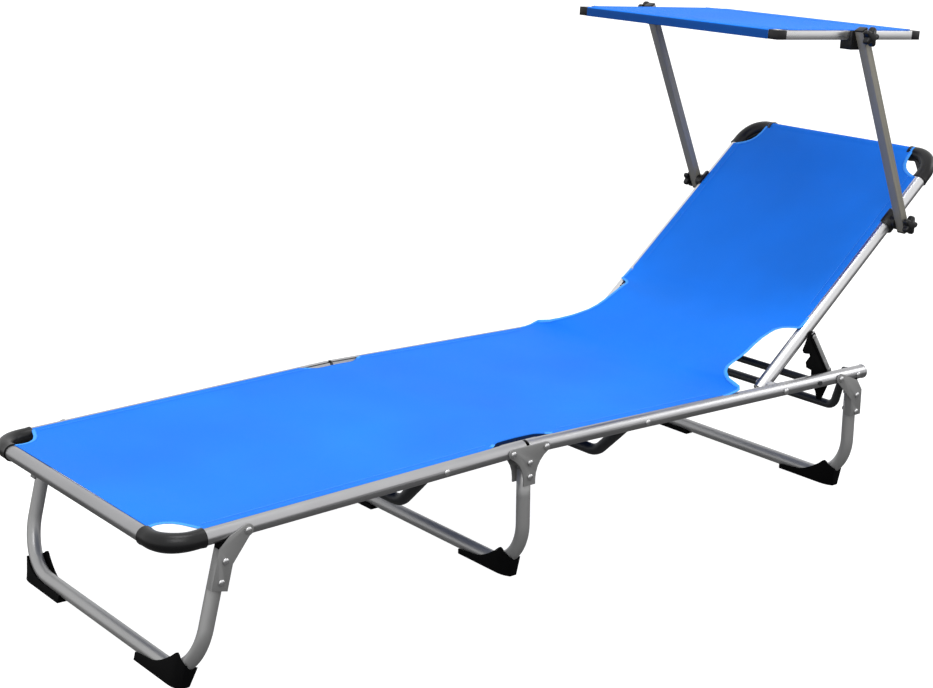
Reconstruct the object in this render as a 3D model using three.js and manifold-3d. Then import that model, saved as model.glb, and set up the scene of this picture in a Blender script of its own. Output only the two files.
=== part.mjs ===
// Three-legged folding sun lounger with an adjustable sunroof.
// Millimetres, +Z up. X runs from the foot end (-X) to the head end (+X), Y across, the near side is -Y.
// The origin is the middle of the space the lounger takes, on the floor.

import * as THREE from 'three';
import { mergeVertices } from 'three/addons/utils/BufferGeometryUtils.js';
import Module from 'manifold-3d';

const wasm = await Module();
wasm.setup();

// Driving dimensions

// Main frame
const railRadius = 12.5;
const railWall = 1.6;
const railHalfSpacing = 280;
const splitHeight = 247.5;
const footLength = 649.5;
const seatLength = 822.5;
const footSlope = 1.18;
const seatSlope = 1.39;
const splitGap = 3;

// Groove in the tubes that holds the beaded edge of the cloth
const grooveTurn = 30;
const grooveMouth = 2.6;
const grooveLip = 1.5;
const grooveRadius = 3;
const grooveWall = 1.2;

// Cloth
const clothThickness = 1.2;
const clothLift = 11.2;
const beadRadius = 2.2;
const clothHingeSetback = 46;
const clothHingeNotch = 16;
const clothNotchHalfWidth = 250;
const clothLapSetback = 78.5;
const clothTongueReach = 30.5;
const clothTongueHalfWidth = 160;
const clothStripStart = 48;
const clothBackStart = 115;
const clothCornerLong = 80;
const clothCornerShort = 17;
const clothCornerSlant = 46;
const clothBarSetback = 6.8;

// Elbows at the corners of the foot end and the backrest
const elbowRadius = 14;
const elbowBend = 45;
const elbowReach = 60;
const elbowSocket = 15;
const elbowWeb = 5;

// Legs
const legRadius = 11.5;
const legWall = 1.5;
const legBend = 85;
const barHeight = 14.5;
const frontSetback = 125;
const frontPivot = footLength - frontSetback;
const frontOffset = 28;
const frontLean = 14.5;
const frontLegTop = 34;
const rearSetback = 74;
const rearPivot = seatLength - rearSetback;
const rearOffset = 47;
const rearLegTop = 27;
const middleLegTop = 34;
const middlePivotReach = 34.5;
const middleLegClearance = 18;

// Shoes under the bends of the legs
const shoeHalfWidth = 14.5;
const shoeOuterSetback = 22;
const shoeOuterHeight = 33;
const shoeShoulderSetback = 30;
const shoeShoulderHeight = 44;
const shoePeakSetback = 44;
const shoePeakHeight = 48;
const shoeKneeSetback = 62;
const shoeKneeHeight = 30;
const shoeInstepSetback = 92;
const shoeInstepHeight = 19;
const shoeToeSetback = 152;
const shoeToeHeight = 15;
const shoeChamfer = 4;

// Pressed brackets
const plateThickness = 2.5;
const bossRadius = 9.5;
const flangeThickness = 2;
const flangeDepth = 14;
const bracketTop = 31;
const rivetPitch = 32;
const frontRivetDrop = 47;
const frontPlateDrop = 92;
const rearRivetDrop = 39.5;
const rearPlateDrop = 79;
const middlePlateDrop = 60;
const middleRivetDrops = [45.5];
const middlePinDrop = 21.5;
const middlePlateRise = 8;
const middleTailDrop = 52;
const middleTailHalfWidth = 12;
const middleArcRadius = 50;
const middleArcTurn = 62;

// Rivets and pivot pins
const pinRadius = 4;
const rivetRadius = 3;
const headRadius = 6;
const rivetHead = 4.5;
const headHeight = 2;
const runningGap = 0.3;

// Cross braces
const braceRadius = 10;
const braceDrop = 85;
const footBracePlace = 164.5;
const seatBracePlace = 261.5;
const braceRun = 92;
const braceBend = 45;
const braceWall = 1.5;
const ventRadius = 1.5;

// Rear bars
const stayRadius = 7;
const staySetback = 129;
const stayPlace = seatLength - staySetback;
const bailRadius = 8;
const bailSetback = 22.5;
const bailPlace = seatLength - bailSetback;
const bailRun = 20;
const bailDrop = 74;
const bailBend = 20;

// Backrest
const backSetback = 220;
const backPivot = seatLength - backSetback;
const backHalfSpacing = 238;
const backLength = 581;
const backAngle = 39.4;
const backTail = 14;

// Toothed plates that hold the backrest
const ratchetThickness = 5;
const ratchetPivotAlong = 131;
const ratchetPivotBelow = 7.5;
const ratchetLobe = 8;
const toothRadius = 99.5;
const notchRadius = 112.5;
const throatRadius = 117;
const ratchetHeel = 162;
const ratchetToe = 141;
const lobeDirections = [-5, 40, 85, 130, 175];
const upperToothDirections = [31.5, 27.5];
const upperNotchDirections = [22, 19];
const lowerToothDirections = [16, 9.5];
const lowerNotchDirections = [4.5, 0];
const throatDirection = -7;
const toeStartDirection = -16;
const toeDirection = -21;
const instepDirection = -10.5;
const heelDirection = -2;
const ratchetStrap = 9;
const ratchetStrapProud = 1.2;

// Sunroof arms
const armSetback = 167;
const armPivotAlong = backLength - armSetback;
const armDepth = 15;
const armWidth = 18;
const armWall = 1.5;
const armLength = 386.5;
const armAngle = 112.5;
const armLowerTail = 14;
const armUpperTail = 11;

// Sunroof
const roofWidth = 510;
const roofToArm = 15;
const backToArm = 32;
const armHalfSpacing = Math.max(roofWidth / 2 + roofToArm, backHalfSpacing + backToArm);
const roofDepth = 382;
const roofTilt = 3.6;
const roofPivotBack = 13;
const roofBar = 16;
const roofBarWall = 1.4;
const roofCorner = 22;
const roofTenon = 18;
const coverFlap = 17;
const coverClearance = 0.5;

// Clamps and star knobs
const clampCollar = 17.5;
const clampLength = 32;
const clampBoss = 13;
const roofClampHalfLength = 17;
const roofClampDrop = 25;
const roofClampInner = 4;
const knobRadius = 18;
const knobThickness = 11;
const knobHub = 8;
const knobStandoff = 4;
const knobLobes = 5;
const knobLobeShare = 0.17;
const boltRadius = 3;

// Facets
const railSides = 18;
const legSides = 12;
const thinSides = 8;
const bendSteps = 5;
const legBendSteps = 7;
const overrun = 4;

// Materials

const finish = (name, color, roughness, metalness) =>
  new THREE.MeshStandardMaterial({ name, color, roughness, metalness });
const brightAluminium = finish('bright aluminium', 0xd9dadd, 0.28, 1);
const greySteel = finish('grey steel', 0x8d8f92, 0.4, 1);
const darkSteel = finish('dark steel', 0x3c3d40, 0.45, 0.9);
const blackPlastic = finish('black plastic', 0x191919, 0.5, 0);
const blueCloth = finish('blue cloth', 0x2f86f2, 0.8, 0);

// Solids

const radians = THREE.MathUtils.degToRad;
const sides = [
  { name: 'near', sign: -1 },
  { name: 'far', sign: 1 },
];

function solid(geometry) {
  const bare = geometry.clone();
  bare.deleteAttribute('normal');
  bare.deleteAttribute('uv');
  const merged = mergeVertices(bare);
  return new wasm.Manifold(new wasm.Mesh({
    numProp: 3,
    vertProperties: new Float32Array(merged.attributes.position.array),
    triVerts: new Uint32Array(merged.index.array),
  }));
}

function surface(body) {
  const mesh = body.getMesh();
  const geometry = new THREE.BufferGeometry();
  geometry.setAttribute('position', new THREE.BufferAttribute(new Float32Array(mesh.vertProperties), 3));
  geometry.setIndex(new THREE.BufferAttribute(new Uint32Array(mesh.triVerts), 1));
  geometry.computeVertexNormals();
  return geometry;
}

const join = (...bodies) => bodies.reduce((whole, body) => whole.add(body));
const cut = (whole, ...tools) => tools.reduce((left, tool) => left.subtract(tool), whole);

// A sweep path that passes exactly through its stations, so straight runs take one step.
class StationPath extends THREE.Curve {
  constructor(stations, tangents) {
    super();
    this.stations = stations;
    this.tangents = tangents;
  }

  at(list, share) {
    return list[Math.round(share * (list.length - 1))].clone();
  }

  getPoint(share) {
    return this.at(this.stations, share);
  }

  getPointAt(share) {
    return this.at(this.stations, share);
  }

  getTangentAt(share) {
    return this.at(this.tangents, share);
  }
}

// Straight runs between corners, with a round bend at each inner corner.
function bentPath(corners, bend, steps = bendSteps) {
  const stations = [];
  const tangents = [];
  const put = (point, tangent) => {
    stations.push(point);
    tangents.push(tangent);
  };
  const last = corners.length - 1;
  put(corners[0], corners[1].clone().sub(corners[0]).normalize());
  for (let i = 1; i < last; i += 1) {
    const before = corners[i].clone().sub(corners[i - 1]).normalize();
    const after = corners[i + 1].clone().sub(corners[i]).normalize();
    const turn = before.angleTo(after);
    const setback = bend * Math.tan(turn / 2);
    const inward = after.clone().sub(before).normalize();
    const centre = corners[i].clone().addScaledVector(inward, bend / Math.cos(turn / 2));
    const axis = before.clone().cross(after).normalize();
    const start = corners[i].clone().addScaledVector(before, -setback).sub(centre);
    for (let step = 0; step <= steps; step += 1) {
      const angle = (turn * step) / steps;
      put(start.clone().applyAxisAngle(axis, angle).add(centre), before.clone().applyAxisAngle(axis, angle));
    }
  }
  put(corners[last], corners[last].clone().sub(corners[last - 1]).normalize());
  return new StationPath(stations, tangents);
}

function ring(radius, count) {
  const shape = new THREE.Shape();
  for (let i = 0; i <= count; i += 1) {
    const angle = (2 * Math.PI * (i + 0.5)) / count;
    const put = i === 0 ? 'moveTo' : 'lineTo';
    shape[put](radius * Math.cos(angle), radius * Math.sin(angle));
  }
  return shape;
}

function sweep(path, radius, count) {
  const steps = path.stations.length - 1;
  return solid(new THREE.ExtrudeGeometry(ring(radius, count), { steps, extrudePath: path, bevelEnabled: false }));
}

function hollowSweep(path, radius, wall, count) {
  const shape = ring(radius, count);
  shape.holes.push(new THREE.Path(ring(radius - wall, count).getPoints().reverse()));
  const steps = path.stations.length - 1;
  return solid(new THREE.ExtrudeGeometry(shape, { steps, extrudePath: path, bevelEnabled: false }));
}

// A round bar between two points.
function rod(from, to, radius, count = thinSides) {
  return sweep(bentPath([from, to], 0), radius, count);
}

function block(size, centre) {
  const geometry = new THREE.BoxGeometry(size.x, size.y, size.z);
  geometry.translate(centre.x, centre.y, centre.z);
  return solid(geometry);
}

// An outline drawn in X and Z, made as thick as the gap between two places in Y.
function slab(shape, lowY, highY) {
  const geometry = new THREE.ExtrudeGeometry(shape, {
    depth: highY - lowY, bevelEnabled: false, curveSegments: bendSteps, steps: 1,
  });
  geometry.rotateX(Math.PI / 2);
  geometry.translate(0, highY, 0);
  return solid(geometry);
}

function outline(points) {
  const shape = new THREE.Shape();
  points.forEach(([x, z], i) => shape[i === 0 ? 'moveTo' : 'lineTo'](x, z));
  shape.closePath();
  return shape;
}

const place = (x, y, z) => new THREE.Vector3(x, y, z);

// A pin across a tube at one side: a shank with a head at its outer end and another at its inner end.
function pin(x, z, side, outerY, innerY, radius, innerHead = headRadius, outerHead = headRadius) {
  const at = (y) => place(x, side.sign * y, z);
  const bodies = [rod(at(innerY), at(outerY), radius), rod(at(outerY), at(outerY + headHeight), outerHead)];
  if (innerHead > 0) {
    bodies.push(rod(at(innerY - headHeight), at(innerY), innerHead));
  }
  return join(...bodies);
}

// A hole across a tube at one side, its flats clear of the pin as it turns.
const hole = (x, z, side, middleY, reach, radius) => rod(
  place(x, side.sign * (middleY - reach), z),
  place(x, side.sign * (middleY + reach), z),
  (radius + runningGap) / Math.cos(Math.PI / thinSides),
);

// Assembly

const lounger = new THREE.Group();
const foot = new THREE.Group();
const seat = new THREE.Group();
const back = new THREE.Group();
const frontLegs = new THREE.Group();
const middleLegs = new THREE.Group();
const rearLegs = new THREE.Group();
const arms = new THREE.Group();
const roof = new THREE.Group();

const footAngle = radians(footSlope);
const seatAngle = radians(seatSlope);
const reclineAngle = radians(backAngle);

foot.position.set(0, 0, splitHeight);
foot.rotation.y = -footAngle;
seat.position.set(0, 0, splitHeight);
seat.rotation.y = seatAngle;

const onFootRail = (along) => place(-along * Math.cos(footAngle), 0, splitHeight - along * Math.sin(footAngle));
const onSeatRail = (along) => place(along * Math.cos(seatAngle), 0, splitHeight - along * Math.sin(seatAngle));

const backRoot = onSeatRail(backPivot);
back.position.copy(backRoot);
back.rotation.y = -reclineAngle;

const frontPin = onFootRail(frontPivot);
const frontLeanAngle = radians(frontLean);
frontLegs.position.copy(frontPin);
frontLegs.rotation.y = frontLeanAngle;
const frontReach = (frontPin.z + frontOffset * Math.sin(frontLeanAngle) - barHeight) / Math.cos(frontLeanAngle);

middleLegs.position.set(0, 0, splitHeight);
const middleReach = splitHeight - middleLegClearance - barHeight;

const rearPin = onSeatRail(rearPivot);
rearLegs.position.copy(rearPin);
const rearReach = rearPin.z - barHeight;

const armRoot = place(
  backRoot.x + armPivotAlong * Math.cos(reclineAngle), 0,
  backRoot.z + armPivotAlong * Math.sin(reclineAngle),
);
const armRise = radians(armAngle);
arms.position.copy(armRoot);
arms.rotation.y = -armRise;

const roofAngle = radians(roofTilt);
const roofRoot = place(armRoot.x + armLength * Math.cos(armRise), 0, armRoot.z + armLength * Math.sin(armRise));
roof.position.copy(roofRoot);
roof.rotation.y = roofAngle;

const footTip = -onFootRail(footLength).x + elbowRadius;
const headTip = backRoot.x + backLength * Math.cos(reclineAngle) + elbowRadius;
lounger.position.x = (footTip - headTip) / 2;

lounger.add(foot, seat, back, frontLegs, middleLegs, rearLegs, arms, roof);

function piece(group, name, body, material) {
  const mesh = new THREE.Mesh(surface(body), material);
  mesh.name = name;
  group.add(mesh);
  return mesh;
}

// Grooved tube for the cloth's beaded edge: the groove leans towards the middle of the bed.
function groovedSection(lean) {
  const mouth = Math.asin(grooveMouth / 2 / railRadius);
  const channel = railRadius - grooveLip - grooveRadius;
  const throat = Math.asin(grooveMouth / 2 / grooveRadius);
  const shape = new THREE.Shape();
  const polar = (radius, angle, centre = 0) => [-radius * Math.sin(angle), centre + radius * Math.cos(angle)];
  const points = [];
  for (let i = 0; i <= railSides; i += 1) {
    points.push(polar(railRadius, mouth + ((2 * Math.PI - 2 * mouth) * i) / railSides));
  }
  for (let i = 0; i <= bendSteps; i += 1) {
    points.push(polar(grooveRadius, -throat - ((2 * Math.PI - 2 * throat) * i) / bendSteps, channel));
  }
  const turned = points.map(([x, y]) => new THREE.Vector2(x, y).rotateAround(new THREE.Vector2(), lean));
  turned.forEach((point, i) => shape[i === 0 ? 'moveTo' : 'lineTo'](point.x, point.y));
  shape.closePath();
  const bore = railRadius - railWall;
  const shell = grooveRadius + grooveWall;
  const meet = Math.acos((bore ** 2 + channel ** 2 - shell ** 2) / (2 * bore * channel));
  const shellMeet = Math.PI - Math.acos((shell ** 2 + channel ** 2 - bore ** 2) / (2 * shell * channel));
  const inner = [];
  for (let i = 0; i <= railSides; i += 1) {
    inner.push(polar(bore, -meet - ((2 * Math.PI - 2 * meet) * i) / railSides));
  }
  const half = bendSteps;
  for (let i = 1; i < half; i += 1) {
    inner.push(polar(shell, shellMeet + ((2 * Math.PI - 2 * shellMeet) * i) / half, channel));
  }
  const turnedInner = inner.map(([x, y]) => new THREE.Vector2(x, y).rotateAround(new THREE.Vector2(), lean));
  shape.holes.push(new THREE.Path(turnedInner));
  return shape;
}

// A grooved tube along X at one side, its groove leaning inwards.
function groovedTube(fromX, toX, y, sign) {
  const shape = groovedSection(sign * radians(grooveTurn));
  const geometry = new THREE.ExtrudeGeometry(shape, { depth: toX - fromX, bevelEnabled: false, steps: 1 });
  geometry.rotateX(Math.PI / 2);
  geometry.rotateZ(Math.PI / 2);
  geometry.translate(fromX, sign * y, 0);
  return solid(geometry);
}

// Cloth with a bead along each side, held in the grooves.
function sling(fromX, toX, halfSpacing) {
  const length = toX - fromX;
  const middle = (fromX + toX) / 2;
  const turn = radians(grooveTurn);
  const channel = railRadius - grooveLip - grooveRadius;
  const mouthRise = clothLift + clothThickness / 2;
  const mouthRadius = mouthRise / Math.cos(turn);
  const edge = halfSpacing - mouthRadius * Math.sin(turn);
  const sheet = block(
    place(length, 2 * edge, clothThickness),
    place(middle, 0, clothLift + clothThickness / 2),
  );
  const edges = sides.map((side) => {
    const web = new THREE.BoxGeometry(length, clothThickness, mouthRadius - channel);
    web.translate(0, 0, (mouthRadius + channel) / 2);
    web.rotateX(side.sign * turn);
    web.translate(middle, side.sign * halfSpacing, 0);
    const bead = place(0, side.sign * (halfSpacing - channel * Math.sin(turn)), channel * Math.cos(turn));
    const line = rod(place(fromX, bead.y, bead.z), place(toX, bead.y, bead.z), beadRadius, 8);
    return join(solid(web), line);
  });
  return join(sheet, ...edges);
}

// Seat frame

const sealedEnd = seatLength - railWall;

sides.forEach((side) => {
  const tube = groovedTube(splitGap, seatLength, railHalfSpacing, side.sign);
  const cap = join(
    rod(place(seatLength, side.sign * railHalfSpacing, 0),
      place(seatLength + headHeight, side.sign * railHalfSpacing, 0), railRadius + headHeight / 4, railSides),
    rod(place(sealedEnd - elbowSocket / 2, side.sign * railHalfSpacing, -grooveRadius / 2),
      place(seatLength, side.sign * railHalfSpacing, -grooveRadius / 2), railRadius / 2, thinSides),
  );
  const drilled = cut(
    join(tube, cap),
    hole(middlePivotReach, 0, side, railHalfSpacing, railRadius + overrun, pinRadius),
    hole(backPivot, 0, side, railHalfSpacing, railRadius + overrun, pinRadius),
    hole(rearPivot, 0, side, railHalfSpacing, railRadius + overrun, pinRadius),
    hole(seatBracePlace, 0, side, railHalfSpacing, railRadius + overrun, rivetRadius),
    hole(stayPlace, 0, side, railHalfSpacing, railRadius + overrun, rivetRadius),
    hole(bailPlace, 0, side, railHalfSpacing, railRadius + overrun, rivetRadius),
  );
  piece(seat, `seat_rail_${side.name}`, drilled, brightAluminium);
});

// A brace bent from one tube: its ends are closed and riveted to the inner sides of the rails, and each
// has a small vent that opens against the rail.
function brace(along, drop, run, bend, radius) {
  const innerFace = railHalfSpacing - railRadius - runningGap;
  const slope = Math.atan2(drop, run);
  const endY = innerFace - radius * Math.sin(slope);
  const corners = [
    place(along, -endY, 0), place(along, -endY + run, -drop), place(along, endY - run, -drop), place(along, endY, 0),
  ];
  const tube = hollowSweep(bentPath(corners, bend, bendSteps - 2), radius, braceWall, legSides);
  const ends = sides.map((side) => join(
    rod(place(along, side.sign * (endY - radius / 2), 0), place(along, side.sign * innerFace, 0), radius, legSides),
    pin(along, 0, side, railHalfSpacing + railRadius + runningGap, innerFace - radius / 2, rivetRadius, 0, rivetHead),
  ));
  const inward = radius + braceBend / 3;
  const vents = sides.map((side) => rod(
    place(along, side.sign * (innerFace + runningGap), -radius / 2),
    place(along, side.sign * (endY - inward * Math.cos(slope)), -inward * Math.sin(slope)),
    ventRadius,
  ));
  return cut(join(tube, ...ends), ...vents);
}

piece(seat, 'seat_brace', brace(seatBracePlace, braceDrop, braceRun, braceBend, braceRadius), darkSteel);
piece(seat, 'rear_bail', brace(bailPlace, bailDrop, bailRun, bailBend, bailRadius), darkSteel);

// Straight bar on which the toothed plates hook.
const stayEnd = railHalfSpacing - railRadius - runningGap;
const stay = join(
  rod(place(stayPlace, -stayEnd, 0), place(stayPlace, stayEnd, 0), stayRadius, legSides),
  ...sides.map((side) => pin(stayPlace, 0, side, railHalfSpacing + railRadius + runningGap,
    stayEnd - stayRadius, rivetRadius, 0, rivetHead)),
);
piece(seat, 'ratchet_bar', stay, darkSteel);

// Between the rails' ends and past the backrest's pivot the cloth is narrower and clear of the tubes.
const strip = (fromX, toX, halfWidth) => block(
  place(toX - fromX, 2 * halfWidth, clothThickness),
  place((fromX + toX) / 2, 0, clothLift + clothThickness / 2),
);
piece(seat, 'seat_sling', join(
  sling(clothHingeSetback, backPivot - clothLapSetback, railHalfSpacing),
  strip(clothHingeNotch, clothHingeSetback + overrun, clothNotchHalfWidth),
  strip(backPivot - clothLapSetback - overrun, backPivot + clothTongueReach, clothTongueHalfWidth),
), blueCloth);

// Foot section

const bendStart = footLength - elbowBend;

function elbowPath(cornerX, cornerY, side, towards) {
  return bentPath([
    place(cornerX + towards * elbowReach, side.sign * cornerY, 0),
    place(cornerX, side.sign * cornerY, 0),
    place(cornerX, side.sign * (cornerY - elbowReach), 0),
  ], elbowBend);
}

// A moulded elbow: a bent sleeve with a socket for each tube, filled in across the inside of the bend if asked.
function elbow(cornerX, cornerY, side, towards, filled) {
  const y = side.sign * cornerY;
  const sleeve = sweep(elbowPath(cornerX, cornerY, side, towards), elbowRadius, railSides);
  const reach = elbowReach - elbowWeb;
  const shape = outline([[cornerX, y], [cornerX + towards * reach, y], [cornerX, y - side.sign * reach]]);
  const web = new THREE.ExtrudeGeometry(shape, { depth: elbowWeb, bevelEnabled: false });
  web.translate(0, 0, -elbowWeb / 2);
  const sockets = [
    rod(place(cornerX + towards * (elbowReach - elbowSocket), y, 0),
      place(cornerX + towards * (elbowReach + overrun), y, 0), railRadius + runningGap, railSides),
    rod(place(cornerX, y - side.sign * (elbowReach - elbowSocket), 0),
      place(cornerX, y - side.sign * (elbowReach + overrun), 0), railRadius + runningGap, railSides),
  ];
  return cut(filled ? join(sleeve, solid(web)) : sleeve, ...sockets);
}

sides.forEach((side) => {
  const tube = groovedTube(-(bendStart - runningGap), -splitGap, railHalfSpacing, side.sign);
  const drilled = cut(
    tube,
    hole(-middlePivotReach, 0, side, railHalfSpacing, railRadius + overrun, pinRadius),
    hole(-frontPivot, 0, side, railHalfSpacing, railRadius + overrun, pinRadius),
    hole(-footBracePlace, 0, side, railHalfSpacing, railRadius + overrun, rivetRadius),
  );
  piece(foot, `foot_rail_${side.name}`, drilled, brightAluminium);
  piece(foot, `foot_elbow_${side.name}`, elbow(-footLength, railHalfSpacing, side, 1, false), blackPlastic);
});

const barEnd = railHalfSpacing - elbowReach + elbowSocket - runningGap;
piece(foot, 'foot_bar', hollowSweep(
  bentPath([place(-footLength, -barEnd, 0), place(-footLength, barEnd, 0)], 0), railRadius, railWall, railSides,
), brightAluminium);
piece(foot, 'foot_brace', brace(-footBracePlace, braceDrop, braceRun, braceBend, braceRadius), darkSteel);

// The cloth is cut away round each elbow.
function cornerCut(cornerX, cornerY, side, towards) {
  const corner = [
    [-clothCornerShort, -clothCornerShort], [clothCornerLong, -clothCornerShort],
    [clothCornerLong, clothCornerShort], [clothCornerSlant, clothCornerShort],
    [clothCornerShort, clothCornerSlant], [clothCornerShort, clothCornerLong],
    [-clothCornerShort, clothCornerLong],
  ];
  const shape = outline(corner.map(([x, y]) => [cornerX + towards * x, side.sign * (cornerY - y)]));
  return solid(new THREE.ExtrudeGeometry(shape, { depth: 2 * railRadius, bevelEnabled: false }));
}

piece(foot, 'foot_sling', cut(
  join(
    sling(-(footLength - clothBarSetback), -clothHingeSetback, railHalfSpacing),
    strip(-(clothHingeSetback + overrun), -clothHingeNotch, clothNotchHalfWidth),
  ),
  ...sides.map((side) => cornerCut(-footLength, railHalfSpacing, side, 1)),
), blueCloth);

// Legs

// One leg: a tube bent into a U, its floor bar across the bed.
function legTube(offset, reach, top) {
  const corners = [
    place(offset, -railHalfSpacing, -top),
    place(offset, -railHalfSpacing, -reach),
    place(offset, railHalfSpacing, -reach),
    place(offset, railHalfSpacing, -top),
  ];
  return {
    outer: sweep(bentPath(corners, legBend, legBendSteps), legRadius + runningGap, legSides),
    tube: hollowSweep(bentPath(corners, legBend, legBendSteps), legRadius, legWall, legSides),
  };
}

// The shoe is a wedge under the bend: it cradles the tube between two wings and has a flat underside.
function shoe(offset, reach, side, legOuter, floorLean, floorRise) {
  const outerY = railHalfSpacing - shoeOuterSetback;
  const toeY = railHalfSpacing - shoeToeSetback;
  const floor = -reach - barHeight - overrun;
  const ground = -reach - barHeight;
  const points = [
    [outerY, floor],
    [outerY, ground + shoeOuterHeight],
    [railHalfSpacing - shoeShoulderSetback, ground + shoeShoulderHeight],
    [railHalfSpacing - shoePeakSetback + shoeChamfer, ground + shoePeakHeight],
    [railHalfSpacing - shoePeakSetback, ground + shoePeakHeight - shoeChamfer / 2],
    [railHalfSpacing - shoeKneeSetback, ground + shoeKneeHeight],
    [railHalfSpacing - shoeInstepSetback, ground + shoeInstepHeight],
    [toeY + shoeChamfer, ground + shoeToeHeight],
    [toeY, ground + shoeToeHeight - shoeChamfer],
    [toeY, floor],
  ];
  const shape = outline(points);
  const geometry = new THREE.ExtrudeGeometry(shape, { depth: 2 * shoeHalfWidth, bevelEnabled: false });
  geometry.rotateX(Math.PI / 2);
  geometry.rotateZ(Math.PI / 2);
  geometry.translate(offset - shoeHalfWidth, 0, 0);
  const body = side.sign > 0 ? solid(geometry) : solid(geometry).mirror([0, 1, 0]);
  const earth = new THREE.BoxGeometry(2 * outerY, 4 * outerY, 2 * reach);
  earth.translate(0, 0, -reach);
  earth.rotateY(-floorLean);
  earth.translate(floorRise.x, 0, floorRise.z);
  return cut(body, legOuter, solid(earth));
}

// Pressed bracket of a hinged leg: a plate over rail and leg, flanges round the leg, pivot pin and rivets.
function legBracket(offset, rivetDrops, plateDrop, side) {
  const halfWidth = legRadius + runningGap + flangeThickness;
  const face = railHalfSpacing + railRadius + runningGap;
  const low = side.sign > 0 ? face : -(face + plateThickness);
  const plate = slab(bracketOutline(offset, halfWidth, plateDrop), low, low + plateThickness);
  const flanges = [-1, 1].map((edge) => block(
    place(flangeThickness, flangeDepth, plateDrop - bracketTop),
    place(offset + edge * (halfWidth - flangeThickness / 2),
      side.sign * (face - flangeDepth / 2 + plateThickness / 2), -(bracketTop + plateDrop) / 2),
  ));
  const innerFace = railHalfSpacing - railRadius - runningGap;
  const pins = [pin(0, 0, side, face + plateThickness, innerFace, pinRadius)];
  rivetDrops.forEach((drop) => {
    pins.push(pin(offset, -drop, side, face + plateThickness,
      railHalfSpacing - legRadius - runningGap, rivetRadius, rivetHead, rivetHead));
  });
  return join(plate, ...flanges, ...pins);
}

function bracketOutline(offset, halfWidth, plateDrop) {
  const sign = Math.sign(offset);
  const reach = Math.abs(offset);
  const points = [];
  for (let i = 0; i <= 2 * bendSteps; i += 1) {
    const angle = Math.PI / 3 + (Math.PI * i) / (2 * bendSteps);
    points.push([bossRadius * Math.cos(angle), bossRadius * Math.sin(angle)]);
  }
  points.push([reach - halfWidth, -(2 * bracketTop + plateDrop) / 3]);
  points.push([reach - halfWidth, -plateDrop]);
  points.push([reach + halfWidth, -plateDrop]);
  points.push([reach + halfWidth, -bracketTop]);
  points.push([reach, -bracketTop / 3]);
  return outline(points.map(([x, z]) => [sign * x, z]));
}

// Plug in the top of a leg: its head stands against the underside of the rail and stops the leg.
function legStop(offset, top, side, railTurn) {
  const y = side.sign * railHalfSpacing;
  const head = rod(place(offset, y, -top + runningGap), place(offset, y, 0), legRadius, legSides);
  const spigot = rod(place(offset, y, -top - legRadius / 2), place(offset, y, -top + 2 * runningGap),
    legRadius - legWall - runningGap, legSides);
  const span = 4 * Math.abs(offset);
  const along = place(Math.cos(railTurn), 0, -Math.sin(railTurn));
  const rail = rod(
    place(-along.x * span, y, -along.z * span), place(along.x * span, y, along.z * span),
    railRadius + runningGap, railSides,
  );
  const above = new THREE.BoxGeometry(span, span, span);
  above.translate(0, y, span / 2);
  above.rotateY(railTurn);
  return cut(join(head, spigot), rail, solid(above));
}

function hingedLeg(group, name, leg) {
  const { offset, reach, top, lean, pivot, railTurn, plateDrop } = leg;
  const rivetDrops = [leg.rivetDrop, leg.rivetDrop + rivetPitch];
  const { outer, tube } = legTube(offset, reach, top);
  const rivets = sides.flatMap((side) => rivetDrops.map((drop) => (
    hole(offset, -drop, side, railHalfSpacing, legRadius + overrun, rivetRadius)
  )));
  piece(group, `${name}_leg`, cut(tube, ...rivets), greySteel);
  const floor = place(pivot.z * Math.sin(lean), 0, -pivot.z * Math.cos(lean));
  sides.forEach((side) => {
    piece(group, `${name}_shoe_${side.name}`, shoe(offset, reach, side, outer, lean, floor), blackPlastic);
    piece(group, `${name}_bracket_${side.name}`, legBracket(offset, rivetDrops, plateDrop, side), greySteel);
    piece(group, `${name}_stop_${side.name}`, legStop(offset, top, side, railTurn), blackPlastic);
  });
}

hingedLeg(frontLegs, 'front', {
  offset: -frontOffset,
  reach: frontReach,
  top: frontLegTop,
  lean: frontLeanAngle,
  pivot: frontPin,
  railTurn: -footAngle - frontLeanAngle,
  rivetDrop: frontRivetDrop,
  plateDrop: frontPlateDrop,
});
hingedLeg(rearLegs, 'rear', {
  offset: rearOffset,
  reach: rearReach,
  top: rearLegTop,
  lean: 0,
  pivot: rearPin,
  railTurn: seatAngle,
  rivetDrop: rearRivetDrop,
  plateDrop: rearPlateDrop,
});

// Middle leg: each side has a pair of Y-shaped plates that carry one pivot of each rail.
const middle = legTube(0, middleReach, middleLegTop);
const middleHoles = sides.flatMap((side) => middleRivetDrops.map((drop) => (
  hole(0, -drop, side, railHalfSpacing, legRadius + overrun, rivetRadius)
)));
piece(middleLegs, 'middle_leg', cut(middle.tube, ...middleHoles), greySteel);

const pivotDrop = middlePivotReach * Math.sin((footAngle + seatAngle) / 2);

function middleOutline() {
  const points = [];
  const steps = bendSteps;
  for (let i = 0; i <= steps; i += 1) {
    const angle = (-Math.PI / 3) + ((5 * Math.PI) / 6) * (i / steps);
    points.push([middlePivotReach + middlePlateRise * Math.cos(angle),
      -pivotDrop + middlePlateRise * Math.sin(angle)]);
  }
  const right = [[middleTailHalfWidth, -middlePlateDrop]];
  for (let i = 0; i <= steps; i += 1) {
    const angle = radians(middleArcTurn) * (i / steps);
    right.push([middleTailHalfWidth + middleArcRadius * (1 - Math.cos(angle)),
      -middleTailDrop + middleArcRadius * Math.sin(angle)]);
  }
  right.push(...points);
  const left = right.map(([x, z]) => [-x, z]).reverse();
  return outline([...right, ...left]);
}

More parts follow.
